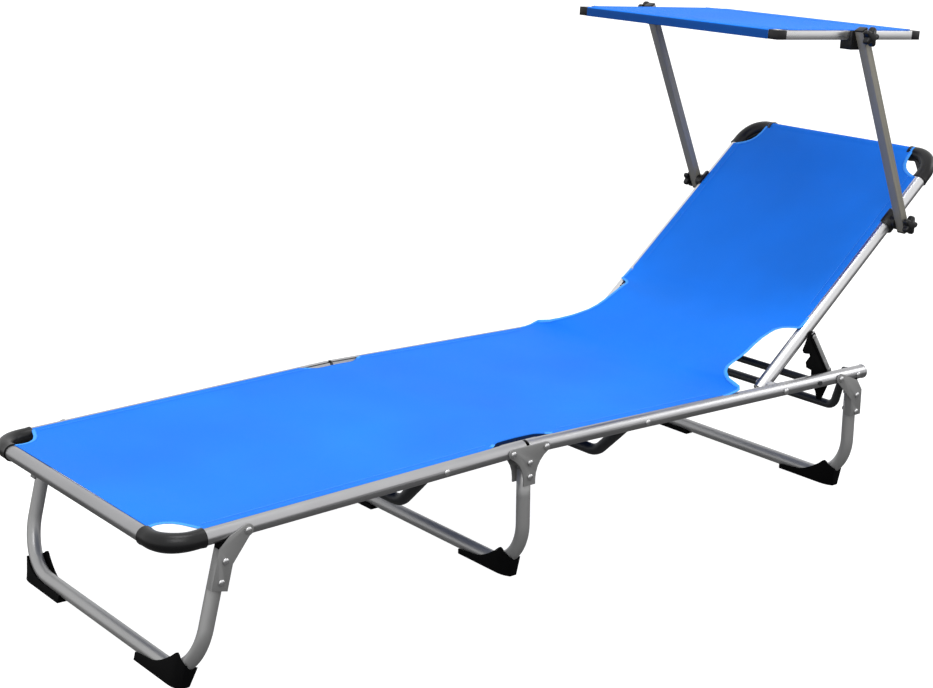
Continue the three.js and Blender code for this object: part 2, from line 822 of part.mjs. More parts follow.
sides.forEach((side) => {
  const face = railHalfSpacing + railRadius + runningGap;
  const innerFace = railHalfSpacing - railRadius - runningGap;
  const low = side.sign > 0 ? face : -(face + plateThickness);
  const pivots = [-1, 1].map((end) => pin(end * middlePivotReach, -pivotDrop, side,
    face + plateThickness, innerFace - plateThickness, pinRadius));
  const rivets = middleRivetDrops.map((drop) => pin(0, -drop, side, face + plateThickness,
    innerFace - plateThickness, rivetRadius, rivetHead, rivetHead));
  const stopPin = pin(0, -middlePinDrop, side, face + plateThickness, innerFace - plateThickness,
    rivetRadius, rivetHead, rivetHead);
  const plate = slab(middleOutline(), low, low + plateThickness);
  const innerLow = side.sign > 0 ? innerFace - plateThickness : -innerFace;
  const innerPlate = slab(middleOutline(), innerLow, innerLow + plateThickness);
  piece(middleLegs, `middle_bracket_${side.name}`, join(plate, innerPlate, ...pivots, ...rivets, stopPin), greySteel);
  piece(middleLegs, `middle_shoe_${side.name}`,
    shoe(0, middleReach, side, middle.outer, 0, place(0, 0, middleLegClearance - splitHeight)), blackPlastic);
});

// Backrest, in its own frame: X along the tubes, Z square to them

const ratchetHole = (side) => rod(
  place(ratchetPivotAlong, side.sign * (backHalfSpacing - railRadius - overrun), -ratchetPivotBelow),
  place(ratchetPivotAlong, side.sign * (backHalfSpacing + railRadius + overrun), -ratchetPivotBelow),
  rivetRadius + runningGap,
);

sides.forEach((side) => {
  const tube = groovedTube(-backTail, backLength - elbowBend - runningGap, backHalfSpacing, side.sign);
  const innerPin = backHalfSpacing - railRadius;
  const outerPin = railHalfSpacing + railRadius + runningGap;
  const spacer = rod(
    place(0, side.sign * (backHalfSpacing + railRadius - railWall), 0),
    place(0, side.sign * (railHalfSpacing - railRadius - runningGap), 0), headRadius + headHeight,
  );
  const drilled = cut(
    join(tube, spacer, pin(0, 0, side, outerPin, innerPin, pinRadius)),
    ratchetHole(side),
  );
  piece(back, `back_rail_${side.name}`, drilled, brightAluminium);
  piece(back, `back_elbow_${side.name}`, elbow(backLength, backHalfSpacing, side, -1, true), blackPlastic);
});

const topEnd = backHalfSpacing - elbowReach + elbowSocket - runningGap;
piece(back, 'back_top_bar', hollowSweep(
  bentPath([place(backLength, -topEnd, 0), place(backLength, topEnd, 0)], 0), railRadius, railWall, railSides,
), brightAluminium);

piece(back, 'back_sling', cut(
  join(
    sling(clothBackStart, backLength - clothBarSetback, backHalfSpacing),
    strip(clothStripStart, clothBackStart + overrun, clothTongueHalfWidth),
  ),
  ...sides.map((side) => cornerCut(backLength, backHalfSpacing, side, -1)),
), blueCloth);

// Collar on a backrest tube that carries a sunroof arm.
sides.forEach((side) => {
  const tubeY = side.sign * backHalfSpacing;
  const armFace = side.sign * (armHalfSpacing - armWidth / 2 - runningGap);
  const collar = rod(place(armPivotAlong - clampLength / 2, tubeY, 0),
    place(armPivotAlong + clampLength / 2, tubeY, 0), clampCollar, railSides);
  const boss = rod(place(armPivotAlong, tubeY, 0), place(armPivotAlong, armFace, 0), clampBoss, legSides);
  const tubeWay = rod(place(armPivotAlong - clampLength, tubeY, 0), place(armPivotAlong + clampLength, tubeY, 0),
    railRadius + runningGap, railSides);
  const boltWay = rod(place(armPivotAlong, side.sign * (backHalfSpacing + railRadius - overrun), 0),
    place(armPivotAlong, armFace + side.sign * overrun, 0), boltRadius + runningGap);
  const clothWay = block(place(2 * clampLength, clampCollar, 2 * clampCollar),
    place(armPivotAlong, side.sign * (backHalfSpacing - clampCollar / 2), clampCollar));
  piece(back, `arm_clamp_${side.name}`, cut(join(collar, boss), tubeWay, boltWay, clothWay), blackPlastic);
});

// Toothed plates

// Each plate is drawn round the backrest's pivot, so its teeth pass the bar as the backrest turns.
const ratchetPivot = place(
  ratchetPivotAlong * Math.cos(reclineAngle) + ratchetPivotBelow * Math.sin(reclineAngle), 0,
  ratchetPivotAlong * Math.sin(reclineAngle) - ratchetPivotBelow * Math.cos(reclineAngle),
);

function ratchetOutline() {
  const points = [];
  const polar = (radius, degrees) => {
    points.push([radius * Math.cos(radians(degrees)), radius * Math.sin(radians(degrees))]);
  };
  const lobe = (degrees) => {
    points.push([ratchetPivot.x + ratchetLobe * Math.cos(radians(degrees)),
      ratchetPivot.z + ratchetLobe * Math.sin(radians(degrees))]);
  };
  lobeDirections.forEach(lobe);
  upperToothDirections.forEach((degrees) => polar(toothRadius, degrees));
  upperNotchDirections.forEach((degrees) => polar(notchRadius, degrees));
  lowerToothDirections.forEach((degrees) => polar(toothRadius, degrees));
  lowerNotchDirections.forEach((degrees) => polar(notchRadius, degrees));
  polar(throatRadius, throatDirection);
  polar(ratchetToe - ratchetLobe, toeStartDirection);
  polar(ratchetToe, toeDirection);
  polar(ratchetToe + ratchetLobe, toeDirection);
  polar(ratchetHeel - ratchetLobe / 2, instepDirection);
  polar(ratchetHeel, heelDirection);
  return outline(points);
}

sides.forEach((side) => {
  const plateGroup = new THREE.Group();
  plateGroup.position.copy(backRoot);
  const inner = backHalfSpacing + railRadius + 2 * runningGap;
  const low = side.sign > 0 ? inner : -(inner + ratchetThickness);
  const plate = slab(ratchetOutline(), low, low + ratchetThickness);
  const outerFace = inner + ratchetThickness;
  const heelAngle = radians(heelDirection);
  const heel = place(ratchetHeel * Math.cos(heelAngle), 0, ratchetHeel * Math.sin(heelAngle));
  const down = heel.clone().sub(ratchetPivot);
  const strapLength = down.length();
  const strap = new THREE.BoxGeometry(strapLength, ratchetStrapProud, ratchetStrap);
  strap.translate(strapLength / 2, 0, 0);
  strap.rotateY(-Math.atan2(down.z, down.x));
  strap.translate(ratchetPivot.x - ratchetStrap / 4,
    side.sign * (outerFace + ratchetStrapProud / 2 - runningGap / 2), ratchetPivot.z - ratchetStrap / 4);
  const pivotPin = pin(ratchetPivot.x, ratchetPivot.z, side, outerFace,
    backHalfSpacing - railRadius - runningGap, rivetRadius, rivetRadius + headHeight);
  piece(plateGroup, `ratchet_${side.name}`, join(plate, solid(strap), pivotPin), blackPlastic);
  lounger.add(plateGroup);
});

// Sunroof arms, in their own frame: X along the arm from its lower bolt

sides.forEach((side) => {
  const middleX = (armLength + armUpperTail - armLowerTail) / 2;
  const length = armLength + armUpperTail + armLowerTail;
  const profile = block(place(length, armWidth, armDepth), place(middleX, side.sign * armHalfSpacing, 0));
  const core = block(
    place(length - 2 * armWall, armWidth - 2 * armWall, armDepth - 2 * armWall),
    place(middleX + 2 * armWall, side.sign * armHalfSpacing, 0),
  );
  const bolts = [0, armLength].map((x) => hole(x, 0, side, armHalfSpacing, armWidth, boltRadius));
  piece(arms, `arm_${side.name}`, cut(profile, core, ...bolts), greySteel);
});

// Sunroof, in its own frame: origin on the upper bolts, X towards the head

const roofFoot = -roofDepth / 2 - roofPivotBack;
const roofHead = roofDepth / 2 - roofPivotBack;
const sideY = (roofWidth - roofBar) / 2;

function boxTube(from, to, size, wall) {
  const along = to.clone().sub(from);
  const length = along.length();
  const shape = outline([[-size / 2, -size / 2], [size / 2, -size / 2], [size / 2, size / 2], [-size / 2, size / 2]]);
  const inside = size / 2 - wall;
  shape.holes.push(new THREE.Path([
    new THREE.Vector2(-inside, -inside), new THREE.Vector2(-inside, inside),
    new THREE.Vector2(inside, inside), new THREE.Vector2(inside, -inside),
  ]));
  const geometry = new THREE.ExtrudeGeometry(shape, { depth: length, bevelEnabled: false });
  geometry.applyQuaternion(new THREE.Quaternion().setFromUnitVectors(place(0, 0, 1), along.normalize()));
  geometry.translate(from.x, from.y, from.z);
  return solid(geometry);
}

sides.forEach((side) => {
  const y = side.sign * sideY;
  piece(roof, `roof_side_${side.name}`, boxTube(
    place(roofFoot + roofCorner + runningGap, y, 0), place(roofHead - roofCorner - runningGap, y, 0),
    roofBar, roofBarWall,
  ), brightAluminium);
});

const crossEnd = roofWidth / 2 - roofCorner - runningGap;
[['foot', roofFoot + roofBar / 2], ['head', roofHead - roofBar / 2]].forEach(([name, x]) => {
  piece(roof, `roof_${name}_bar`, boxTube(place(x, -crossEnd, 0), place(x, crossEnd, 0), roofBar, roofBarWall),
    brightAluminium);
});

// Square corner block with a tenon in each tube.
[['foot', roofFoot, 1], ['head', roofHead, -1]].forEach(([end, x, inward]) => {
  sides.forEach((side) => {
    const tenonSize = roofBar - 2 * roofBarWall - 2 * runningGap;
    const outerY = (side.sign * roofWidth) / 2;
    const alongX = block(place(roofCorner, roofBar, roofBar),
      place(x + (inward * roofCorner) / 2, outerY - (side.sign * roofBar) / 2, 0));
    const alongY = block(place(roofBar, roofCorner, roofBar),
      place(x + (inward * roofBar) / 2, outerY - (side.sign * roofCorner) / 2, 0));
    const tenonX = block(place(roofTenon, tenonSize, tenonSize),
      place(x + inward * (roofCorner + roofTenon / 2 - runningGap), outerY - (side.sign * roofBar) / 2, 0));
    const tenonY = block(place(tenonSize, roofTenon, tenonSize),
      place(x + (inward * roofBar) / 2, outerY - side.sign * (roofCorner + roofTenon / 2 - runningGap), 0));
    piece(roof, `roof_corner_${end}_${side.name}`, join(alongX, alongY, tenonX, tenonY), blackPlastic);
  });
});

// Cover: stretched over the frame and turned down over the foot and head bars.
const coverIn = roofBar / 2 + coverClearance;
const coverOut = coverIn + clothThickness;
const coverShape = outline([
  [roofFoot - coverClearance - clothThickness, -coverFlap / 2],
  [roofFoot - coverClearance, -coverFlap / 2],
  [roofFoot - coverClearance, coverIn],
  [roofHead + coverClearance, coverIn],
  [roofHead + coverClearance, -coverFlap / 2],
  [roofHead + coverClearance + clothThickness, -coverFlap / 2],
  [roofHead + coverClearance + clothThickness, coverOut],
  [roofFoot - coverClearance - clothThickness, coverOut],
]);
piece(roof, 'roof_cover', slab(coverShape, -roofWidth / 2, roofWidth / 2), blueCloth);

// Saddle under a side bar, joined to the arm by the upper bolt.
sides.forEach((side) => {
  const armFace = armHalfSpacing - armWidth / 2 - runningGap;
  const innerY = roofWidth / 2 - roofBar - roofClampInner;
  const saddle = block(
    place(2 * roofClampHalfLength, armFace - innerY, roofClampDrop + roofBar / 2),
    place(0, (side.sign * (armFace + innerY)) / 2, (roofBar / 2 - roofClampDrop) / 2),
  );
  const way = block(
    place(3 * roofClampHalfLength, roofBar + 2 * runningGap, 2 * roofBar),
    place(0, side.sign * sideY, roofBar / 2 - runningGap),
  );
  const bolt = rod(place(0, side.sign * (roofWidth / 2 + runningGap / 2), 0),
    place(0, side.sign * (armFace + overrun), 0), boltRadius + runningGap);
  piece(roof, `roof_clamp_${side.name}`, cut(saddle, way, bolt), blackPlastic);
});

// Star knobs, each with its bolt

function knobOutline() {
  const points = [];
  const count = knobLobes * bendSteps;
  for (let i = 0; i < count; i += 1) {
    const angle = (2 * Math.PI * i) / count;
    const radius = knobRadius * (1 - knobLobeShare + knobLobeShare * Math.cos(knobLobes * angle));
    points.push([radius * Math.cos(angle), radius * Math.sin(angle)]);
  }
  return outline(points);
}

function knob(side, boltEnd) {
  const face = armHalfSpacing + armWidth / 2 + runningGap;
  const start = face + knobStandoff;
  const low = side.sign > 0 ? start : -(start + knobThickness);
  const star = slab(knobOutline(), low, low + knobThickness);
  const hub = rod(place(0, side.sign * face, 0), place(0, side.sign * (start + overrun / 2), 0), knobHub, legSides);
  const crown = rod(place(0, side.sign * (start + knobThickness - overrun / 2), 0),
    place(0, side.sign * (start + knobThickness + headHeight), 0), knobHub, legSides);
  const bolt = rod(place(0, side.sign * boltEnd, 0), place(0, side.sign * (start + overrun), 0), boltRadius);
  return join(star, hub, crown, bolt);
}

sides.forEach((side) => {
  const lowerBolt = backHalfSpacing + railRadius + runningGap;
  const upperBolt = roofWidth / 2 + runningGap;
  const lower = piece(lounger, `lower_knob_${side.name}`, knob(side, lowerBolt), blackPlastic);
  lower.position.copy(armRoot);
  const upper = piece(lounger, `upper_knob_${side.name}`, knob(side, upperBolt), blackPlastic);
  upper.position.copy(roofRoot);
});

export default lounger;
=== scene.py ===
"""Folding sun lounger with three tube legs, a blue cloth bed and an adjustable sunroof."""

import math

import bmesh
import bpy
from bpy.props import FloatProperty, FloatVectorProperty, IntProperty, PointerProperty
from mathutils import Matrix, Vector


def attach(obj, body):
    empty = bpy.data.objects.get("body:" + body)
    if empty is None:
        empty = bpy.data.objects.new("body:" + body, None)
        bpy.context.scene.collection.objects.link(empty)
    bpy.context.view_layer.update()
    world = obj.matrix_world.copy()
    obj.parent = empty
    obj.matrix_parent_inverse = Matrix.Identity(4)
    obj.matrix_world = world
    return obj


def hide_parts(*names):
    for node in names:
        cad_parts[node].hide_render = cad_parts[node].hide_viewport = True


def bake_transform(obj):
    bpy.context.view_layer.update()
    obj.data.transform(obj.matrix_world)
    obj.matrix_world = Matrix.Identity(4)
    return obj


bl_info = {
    "name": "Sun Lounger with Sunroof",
    "version": (1, 0, 0),
    "blender": (4, 5, 0),
    "location": "View3D > Sidebar > Lounger",
    "description": "Dresses the folding sun lounger with cloth, moulded plastic and metal finishes",
    "category": "Add Mesh",
}

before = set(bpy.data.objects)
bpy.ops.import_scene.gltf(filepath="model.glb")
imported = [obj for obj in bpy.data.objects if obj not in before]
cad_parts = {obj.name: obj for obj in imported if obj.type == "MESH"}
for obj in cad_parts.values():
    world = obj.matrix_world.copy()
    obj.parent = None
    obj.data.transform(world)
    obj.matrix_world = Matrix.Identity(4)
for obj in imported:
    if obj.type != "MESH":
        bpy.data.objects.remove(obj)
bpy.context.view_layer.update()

# Sizes of the frame, in metres, as the solids have them

SPLIT_HEIGHT = 0.2475
RAIL_RADIUS = 0.0125
RAIL_HALF_SPACING = 0.280
FOOT_LENGTH = 0.6495
SEAT_LENGTH = 0.8225
FOOT_SLOPE = math.radians(1.18)
SEAT_SLOPE = math.radians(1.39)
BACK_PIVOT = 0.6025
BACK_HALF_SPACING = 0.238
BACK_LENGTH = 0.581
BACK_ANGLE = math.radians(39.4)
BACK_TIP_RADIUS = 0.014
ELBOW_RADIUS = 0.014
ELBOW_BEND = 0.045
ELBOW_REACH = 0.060
LEG_RADIUS = 0.0115
LEG_WALL = 0.0015
LEG_BEND = 0.085
BAR_HEIGHT = 0.0145
FRONT_PIVOT = 0.5245
FRONT_OFFSET = 0.028
FRONT_LEAN = math.radians(14.5)
FRONT_TOP = 0.034
REAR_PIVOT = 0.7485
REAR_OFFSET = 0.047
REAR_TOP = 0.027
MIDDLE_PIVOT = 0.0345
MIDDLE_TOP = 0.034
MIDDLE_CLEARANCE = 0.018
FRONT_RIVETS = (0.047, 0.079)
REAR_RIVETS = (0.0395, 0.0715)
MIDDLE_RIVETS = (0.0215, 0.0455)
BRACE_RADIUS = 0.010
BRACE_DROP = 0.085
BRACE_RUN = 0.092
BRACE_BEND = 0.045
BAIL_RADIUS = 0.008
BAIL_DROP = 0.074
BAIL_RUN = 0.020
BAIL_BEND = 0.020
FOOT_BRACE = 0.1645
SEAT_BRACE = 0.2615
BAIL_PLACE = 0.800
ARM_PIVOT = 0.414
ARM_LENGTH = 0.3865
ARM_ANGLE = math.radians(112.5)
ARM_HALF_SPACING = 0.270
ARM_WIDTH = 0.018
ARM_DEPTH = 0.015
ROOF_TILT = math.radians(3.6)
ROOF_WIDTH = 0.510
ROOF_DEPTH = 0.382
ROOF_BACK = 0.013
ROOF_BAR = 0.016
ROOF_CORNER = 0.022
PLATE = 0.0025
GAP = 0.0003
HEAD_HEIGHT = 0.002
RATCHET_ALONG = 0.131
RATCHET_BELOW = 0.0075
RATCHET_HEEL = 0.162
RATCHET_THICKNESS = 0.005
HEEL_DIRECTION = math.radians(-2)
CLOTH_LIFT = 0.0118
SIDES = (("near", -1), ("far", 1))
PER_METRE = 1000

# The photograph's camera, in the same frame

PHOTO_WIDTH = 933
FOCAL_PIXELS = 1818.04
SENSOR_WIDTH = 36
CAMERA_PLACE = (-1.97806, -2.3903, 1.2073)
CAMERA_YAW = math.radians(51.8435)
CAMERA_PITCH = math.radians(15.9499)
CAMERA_ROLL = math.radians(-0.4706)

# Local frames

back_root_x = BACK_PIVOT * math.cos(SEAT_SLOPE)
back_root_z = SPLIT_HEIGHT - BACK_PIVOT * math.sin(SEAT_SLOPE)
foot_tip = FOOT_LENGTH * math.cos(FOOT_SLOPE) + ELBOW_RADIUS
head_tip = back_root_x + BACK_LENGTH * math.cos(BACK_ANGLE) + BACK_TIP_RADIUS
SHIFT = (foot_tip - head_tip) / 2


def local_frame(x, z, turn):
    return Matrix.Translation((x + SHIFT, 0, z)) @ Matrix.Rotation(turn, 4, "Y")


FOOT = local_frame(0, SPLIT_HEIGHT, -FOOT_SLOPE)
SEAT = local_frame(0, SPLIT_HEIGHT, SEAT_SLOPE)
BACK = local_frame(back_root_x, back_root_z, -BACK_ANGLE)
MIDDLE = local_frame(0, SPLIT_HEIGHT, 0)
front_x = -FRONT_PIVOT * math.cos(FOOT_SLOPE)
front_z = SPLIT_HEIGHT - FRONT_PIVOT * math.sin(FOOT_SLOPE)
FRONT = local_frame(front_x, front_z, FRONT_LEAN)
rear_x = REAR_PIVOT * math.cos(SEAT_SLOPE)
rear_z = SPLIT_HEIGHT - REAR_PIVOT * math.sin(SEAT_SLOPE)
REAR = local_frame(rear_x, rear_z, 0)
arm_x = back_root_x + ARM_PIVOT * math.cos(BACK_ANGLE)
arm_z = back_root_z + ARM_PIVOT * math.sin(BACK_ANGLE)
ARMS = local_frame(arm_x, arm_z, -ARM_ANGLE)
roof_x = arm_x + ARM_LENGTH * math.cos(ARM_ANGLE)
roof_z = arm_z + ARM_LENGTH * math.sin(ARM_ANGLE)
ROOF = local_frame(roof_x, roof_z, ROOF_TILT)
FRONT_REACH = (front_z + FRONT_OFFSET * math.sin(FRONT_LEAN) - BAR_HEIGHT) / math.cos(FRONT_LEAN)
REAR_REACH = rear_z - BAR_HEIGHT
MIDDLE_REACH = SPLIT_HEIGHT - MIDDLE_CLEARANCE - BAR_HEIGHT
# Name, local frame, offset along the bed, reach to the ground bar, top, and the shoes' height off the floor
LEGS = (
    ("front", FRONT, -FRONT_OFFSET, FRONT_REACH, FRONT_TOP, 0),
    ("middle", MIDDLE, 0, MIDDLE_REACH, MIDDLE_TOP, MIDDLE_CLEARANCE),
    ("rear", REAR, REAR_OFFSET, REAR_REACH, REAR_TOP, 0),
)


# Settings


def colour_setting(name, description, default):
    return FloatVectorProperty(
        name=name, description=description, subtype="COLOR", size=3, min=0, max=1, default=default)


def length_setting(name, description, default, low, high):
    return FloatProperty(
        name=name, description=description, subtype="DISTANCE", unit="LENGTH",
        default=default, min=low, max=high)


class ClothSettings(bpy.types.PropertyGroup):
    colour: colour_setting("Colour", "Colour of the bed's and the sunroof's cloth", (0.005, 0.178, 0.80))
    sag: length_setting("Sag", "How far the bed hangs between its side tubes", 0.007, 0, 0.03)
    thickness: length_setting("Thickness", "Thickness of the cloth", 0.0009, 0.0003, 0.002)
    columns: IntProperty(name="Columns", description="Faces across the bed", default=56, min=16, max=120)
    binding: length_setting("Binding", "Width of the tape round the cut edges", 0.0065, 0.003, 0.015)


class MetalSettings(bpy.types.PropertyGroup):
    bright: colour_setting("Bright tubes", "Colour of the backrest's tubes", (0.68, 0.68, 0.69))
    rail: colour_setting("Bed rails", "Colour of the bed's side rails", (0.42, 0.42, 0.43))
    grey: colour_setting("Grey legs", "Colour of the legs and brackets", (0.36, 0.36, 0.36))
    arm: colour_setting("Sunroof arms", "Colour of the sunroof's arms", (0.23, 0.218, 0.185))
    # painted shade: the braces are the frame's grey steel, coloured near black for the shade under the bed
    shaded_braces: colour_setting("Braces in painted shade", "Colour of the cross braces", (0.045, 0.047, 0.05))
    rivet: colour_setting("Rivets", "Colour of the rivets and pins", (0.75, 0.75, 0.76))


class PlasticSettings(bpy.types.PropertyGroup):
    colour: colour_setting("Colour", "Colour of the moulded parts", (0.005, 0.005, 0.0055))
    lobes: IntProperty(name="Lobes", description="Lobes of each star knob", default=5, min=3, max=8)


class StageSettings(bpy.types.PropertyGroup):
    floor: colour_setting("Floor", "Colour of the floor", (0.30, 0.30, 0.30))
    glow: FloatProperty(
        name="Glow", description="Light that the floor gives off", default=0.95, min=0, max=2)
    light: FloatProperty(name="Light", description="Strength of the sky light", default=1.05, min=0, max=3)


# Materials

METAL_RELIEF = 0.00004
PLASTIC_RELIEF = 0.00006
WEAVE_RELIEF = 0.00012
YARN = 0.0011
BINDING_BLUE = (0.06, 0.34, 1.0)
# dark navy of the tall strip hung at the hinge's cut edges, painted shade in the gap under the hinge
NAVY_SHADE_TAPE = (0.004, 0.02, 0.09)
THREAD_BLUE = (0.03, 0.22, 0.75)
# Waves in a metre along X, Y and Z of a pattern
LINES_ALONG = (14, 1500, 1500)
LINES_ACROSS = (1500, 14, 1500)
LINES_UP = (900, 900, 20)
COATING = (240, 240, 240)
FINE_COATING = (300, 300, 300)
PATCHES = (9, 9, 9)
PLAIN = (1, 1, 1)
SLUBS = (60, 700, 60)
# slow patches painted on the cloth in place of soft shading
SHADE_PATCH_WAVES = (3.2, 3.2, 3.2)


def shader(name):
    material = bpy.data.materials.new(name)
    material.use_nodes = True
    tree = material.node_tree
    return material, tree, tree.nodes["Principled BSDF"]


def pattern_coordinates(tree, scale, source="Object"):
    place = tree.nodes.new("ShaderNodeTexCoord")
    mapping = tree.nodes.new("ShaderNodeMapping")
    mapping.inputs["Scale"].default_value = scale
    tree.links.new(place.outputs[source], mapping.inputs["Vector"])
    return mapping.outputs["Vector"]


def noise(tree, vector, scale, detail, roughness):
    texture = tree.nodes.new("ShaderNodeTexNoise")
    for socket, value in (("Scale", scale), ("Detail", detail), ("Roughness", roughness)):
        texture.inputs[socket].default_value = value
    tree.links.new(vector, texture.inputs["Vector"])
    return texture.outputs["Fac"]


def ramp(tree, value, low, high):
    remap = tree.nodes.new("ShaderNodeMapRange")
    remap.inputs["To Min"].default_value = low
    remap.inputs["To Max"].default_value = high
    tree.links.new(value, remap.inputs["Value"])
    return remap.outputs["Result"]


def tint(tree, bsdf, value, colour, low, high):
    """Base colour that runs between two shares of a colour."""
    mix = tree.nodes.new("ShaderNodeMix")
    mix.data_type = "RGBA"
    mix.inputs[6].default_value = (*shade(colour, low), 1)
    mix.inputs[7].default_value = (*shade(colour, high), 1)
    tree.links.new(value, mix.inputs[0])
    tree.links.new(mix.outputs[2], bsdf.inputs["Base Color"])


def combine(tree, first, second, operation="ADD"):
    maths = tree.nodes.new("ShaderNodeMath")
    maths.operation = operation
    for socket, value in zip(maths.inputs, (first, second)):
        if isinstance(value, (int, float)):
            socket.default_value = value
        else:
            tree.links.new(value, socket)
    return maths.outputs["Value"]


def bump(tree, bsdf, height, distance, strength=1):
    node = tree.nodes.new("ShaderNodeBump")
    node.inputs["Distance"].default_value = distance
    node.inputs["Strength"].default_value = strength
    tree.links.new(height, node.inputs["Height"])
    tree.links.new(node.outputs["Normal"], bsdf.inputs["Normal"])


def shade(colour, share):
    return tuple(min(1, c * share) for c in colour)


def drawn_metal(name, colour, roughness, metallic, stretch):
    """Satin tube with drawing lines along it and faint dulled patches."""
    material, tree, bsdf = shader(name)
    along = noise(tree, pattern_coordinates(tree, stretch), 1, 4, 0.6)
    patches = noise(tree, pattern_coordinates(tree, PATCHES), 1, 3, 0.55)
    tint(tree, bsdf, patches, colour, 0.88, 1.08)
    dulled = ramp(tree, patches, roughness - 0.05, roughness + 0.08)
    tree.links.new(combine(tree, ramp(tree, along, -0.05, 0.07), dulled), bsdf.inputs["Roughness"])
    bsdf.inputs["Metallic"].default_value = metallic
    bump(tree, bsdf, along, METAL_RELIEF)


def moulded_plastic(name, colour, roughness, gloss=0.5):
    """Moulded plastic with a fine spark-eroded grain and handling marks."""
    material, tree, bsdf = shader(name)
    bsdf.inputs["Specular IOR Level"].default_value = gloss
    grain = noise(tree, pattern_coordinates(tree, PLAIN), 1600, 2, 0.5)
    marks = noise(tree, pattern_coordinates(tree, PLAIN), 45, 4, 0.6)
    tint(tree, bsdf, marks, colour, 0.8, 1.5)
    tree.links.new(ramp(tree, marks, roughness - 0.08, roughness + 0.12), bsdf.inputs["Roughness"])
    bump(tree, bsdf, grain, PLASTIC_RELIEF)


def woven_cloth(name, colour):
    """Coated plain-weave cloth: crossing yarns, slow lighter and darker patches that stand in for soft
    shading, slubs in the yarn, and a soft sheen.
    """
    material, tree, bsdf = shader(name)
    split = tree.nodes.new("ShaderNodeSeparateXYZ")
    tree.links.new(pattern_coordinates(tree, (1 / YARN, 1 / YARN, 1 / YARN), "UV"), split.inputs["Vector"])
    waves = [
        combine(tree, combine(tree, split.outputs[axis], math.pi, "MULTIPLY"), 0, "SINE")
        for axis in ("X", "Y")]
    weave = combine(tree, waves[0], waves[1], "MULTIPLY")
    ridge = combine(tree, combine(tree, waves[0], 0, "ABSOLUTE"), combine(tree, waves[1], 0, "ABSOLUTE"))
    height = combine(tree, combine(tree, weave, 0.6, "MULTIPLY"), ridge)
    slub = noise(tree, pattern_coordinates(tree, SLUBS, "UV"), 1, 2, 0.5)
    # painted shade: the slow noise lays lighter and darker patches in place of the soft shading of the taut
    # cloth; the slub noise is the yarn's own unevenness
    slow = noise(tree, pattern_coordinates(tree, SHADE_PATCH_WAVES, "UV"), 1, 3, 0.5)
    shade_patches_and_slubs = combine(tree, ramp(tree, slow, -0.35, 0.95), ramp(tree, slub, -0.12, 0.12))
    tint(tree, bsdf, shade_patches_and_slubs, colour, 0.80, 1.16)
    tree.links.new(ramp(tree, slub, 0.62, 0.78), bsdf.inputs["Roughness"])
    bsdf.inputs["Sheen Weight"].default_value = 0.02
    bsdf.inputs["Sheen Roughness"].default_value = 0.5
    bsdf.inputs["Specular IOR Level"].default_value = 0.12
    bump(tree, bsdf, height, WEAVE_RELIEF, 0.7)


def make_materials(scene):
    metal = scene.lounger_metal
    black = scene.lounger_plastic.colour
    blue = scene.lounger_cloth.colour
    for name, colour, roughness, metallic, stretch in (
        ("Satin rail", metal.rail, 0.3, 0.95, LINES_ALONG),
        ("Satin foot bar", shade(metal.rail, 0.85), 0.32, 0.95, LINES_ACROSS),
        ("Satin aluminium along the bed", metal.bright, 0.27, 1, LINES_ALONG),
        ("Satin aluminium across the bed", metal.bright, 0.27, 1, LINES_ACROSS),
        ("Grey coated steel", metal.grey, 0.34, 0.6, COATING),
        # painted shade: a darker copy of the legs' grey, so that the brackets' flat faces, which catch more
        # light, look as dark as the legs
        ("Grey plate in painted shade", shade(metal.grey, 0.66), 0.36, 0.35, COATING),
        ("Grey coated arm", metal.arm, 0.38, 0.1, LINES_UP),
        # painted shade: near-black copy of the grey steel for the cross braces, which sit in shade under the
        # bed
        ("Grey steel in painted shade", metal.shaded_braces, 0.4, 0.6, COATING),
        ("Bright rivet", metal.rivet, 0.22, 1, FINE_COATING),
    ):
        drawn_metal(name, colour, roughness, metallic, stretch)
    moulded_plastic("Black moulded plastic", black, 0.33, 0.3)
    moulded_plastic("Dull black plastic", shade(black, 0.4), 0.6, 0.04)
    moulded_plastic("Blue sewing thread", THREAD_BLUE, 0.6)
    woven_cloth("Blue woven cloth", blue)
    woven_cloth("Light blue binding", BINDING_BLUE)
    # painted shade: a darker copy of the cloth for the cover's upright wraps, which catch less of the
    # overhead light
    woven_cloth("Blue cloth in painted shade", shade(blue, 0.32))
    # painted shade: the strip hung at the hinge's cut edges
    woven_cloth("Navy painted shade tape", NAVY_SHADE_TAPE)


# Mesh helpers

TUBE_STEP = 0.04


def linked(name, data):
    piece = bpy.data.objects.new(name, data)
    bpy.context.scene.collection.objects.link(piece)
    return piece


def smooth_object(name, bm, finish):
    """Turns a bmesh into an object with smooth faces and one material."""
    mesh = bpy.data.meshes.new(name)
    for face in bm.faces:
        face.smooth = True
    bm.to_mesh(mesh)
    bm.free()
    mesh.materials.append(bpy.data.materials[finish])
    return linked(name, mesh)


def closed_object(name, bm, finish):
    """Turns closed shells into an object, their faces outwards."""
    bmesh.ops.recalc_face_normals(bm, faces=bm.faces)
    return smooth_object(name, bm, finish)


def new_piece(name, bm, finish, body, node=None):
    """Turns closed shells into a piece that rides on its body."""
    return settle(closed_object(name, bm, finish), body, node)


def settle(piece, body, node=None):
    if node:
        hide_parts(node)
    if body:
        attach(piece, body)
    return piece


def bake(source, name):
    """Turns the evaluated modifiers into a plain mesh on a new object."""
    depsgraph = bpy.context.evaluated_depsgraph_get()
    mesh = bpy.data.meshes.new_from_object(source.evaluated_get(depsgraph))
    mesh.name = name
    piece = linked(name, mesh)
    bpy.data.objects.remove(source)
    return piece


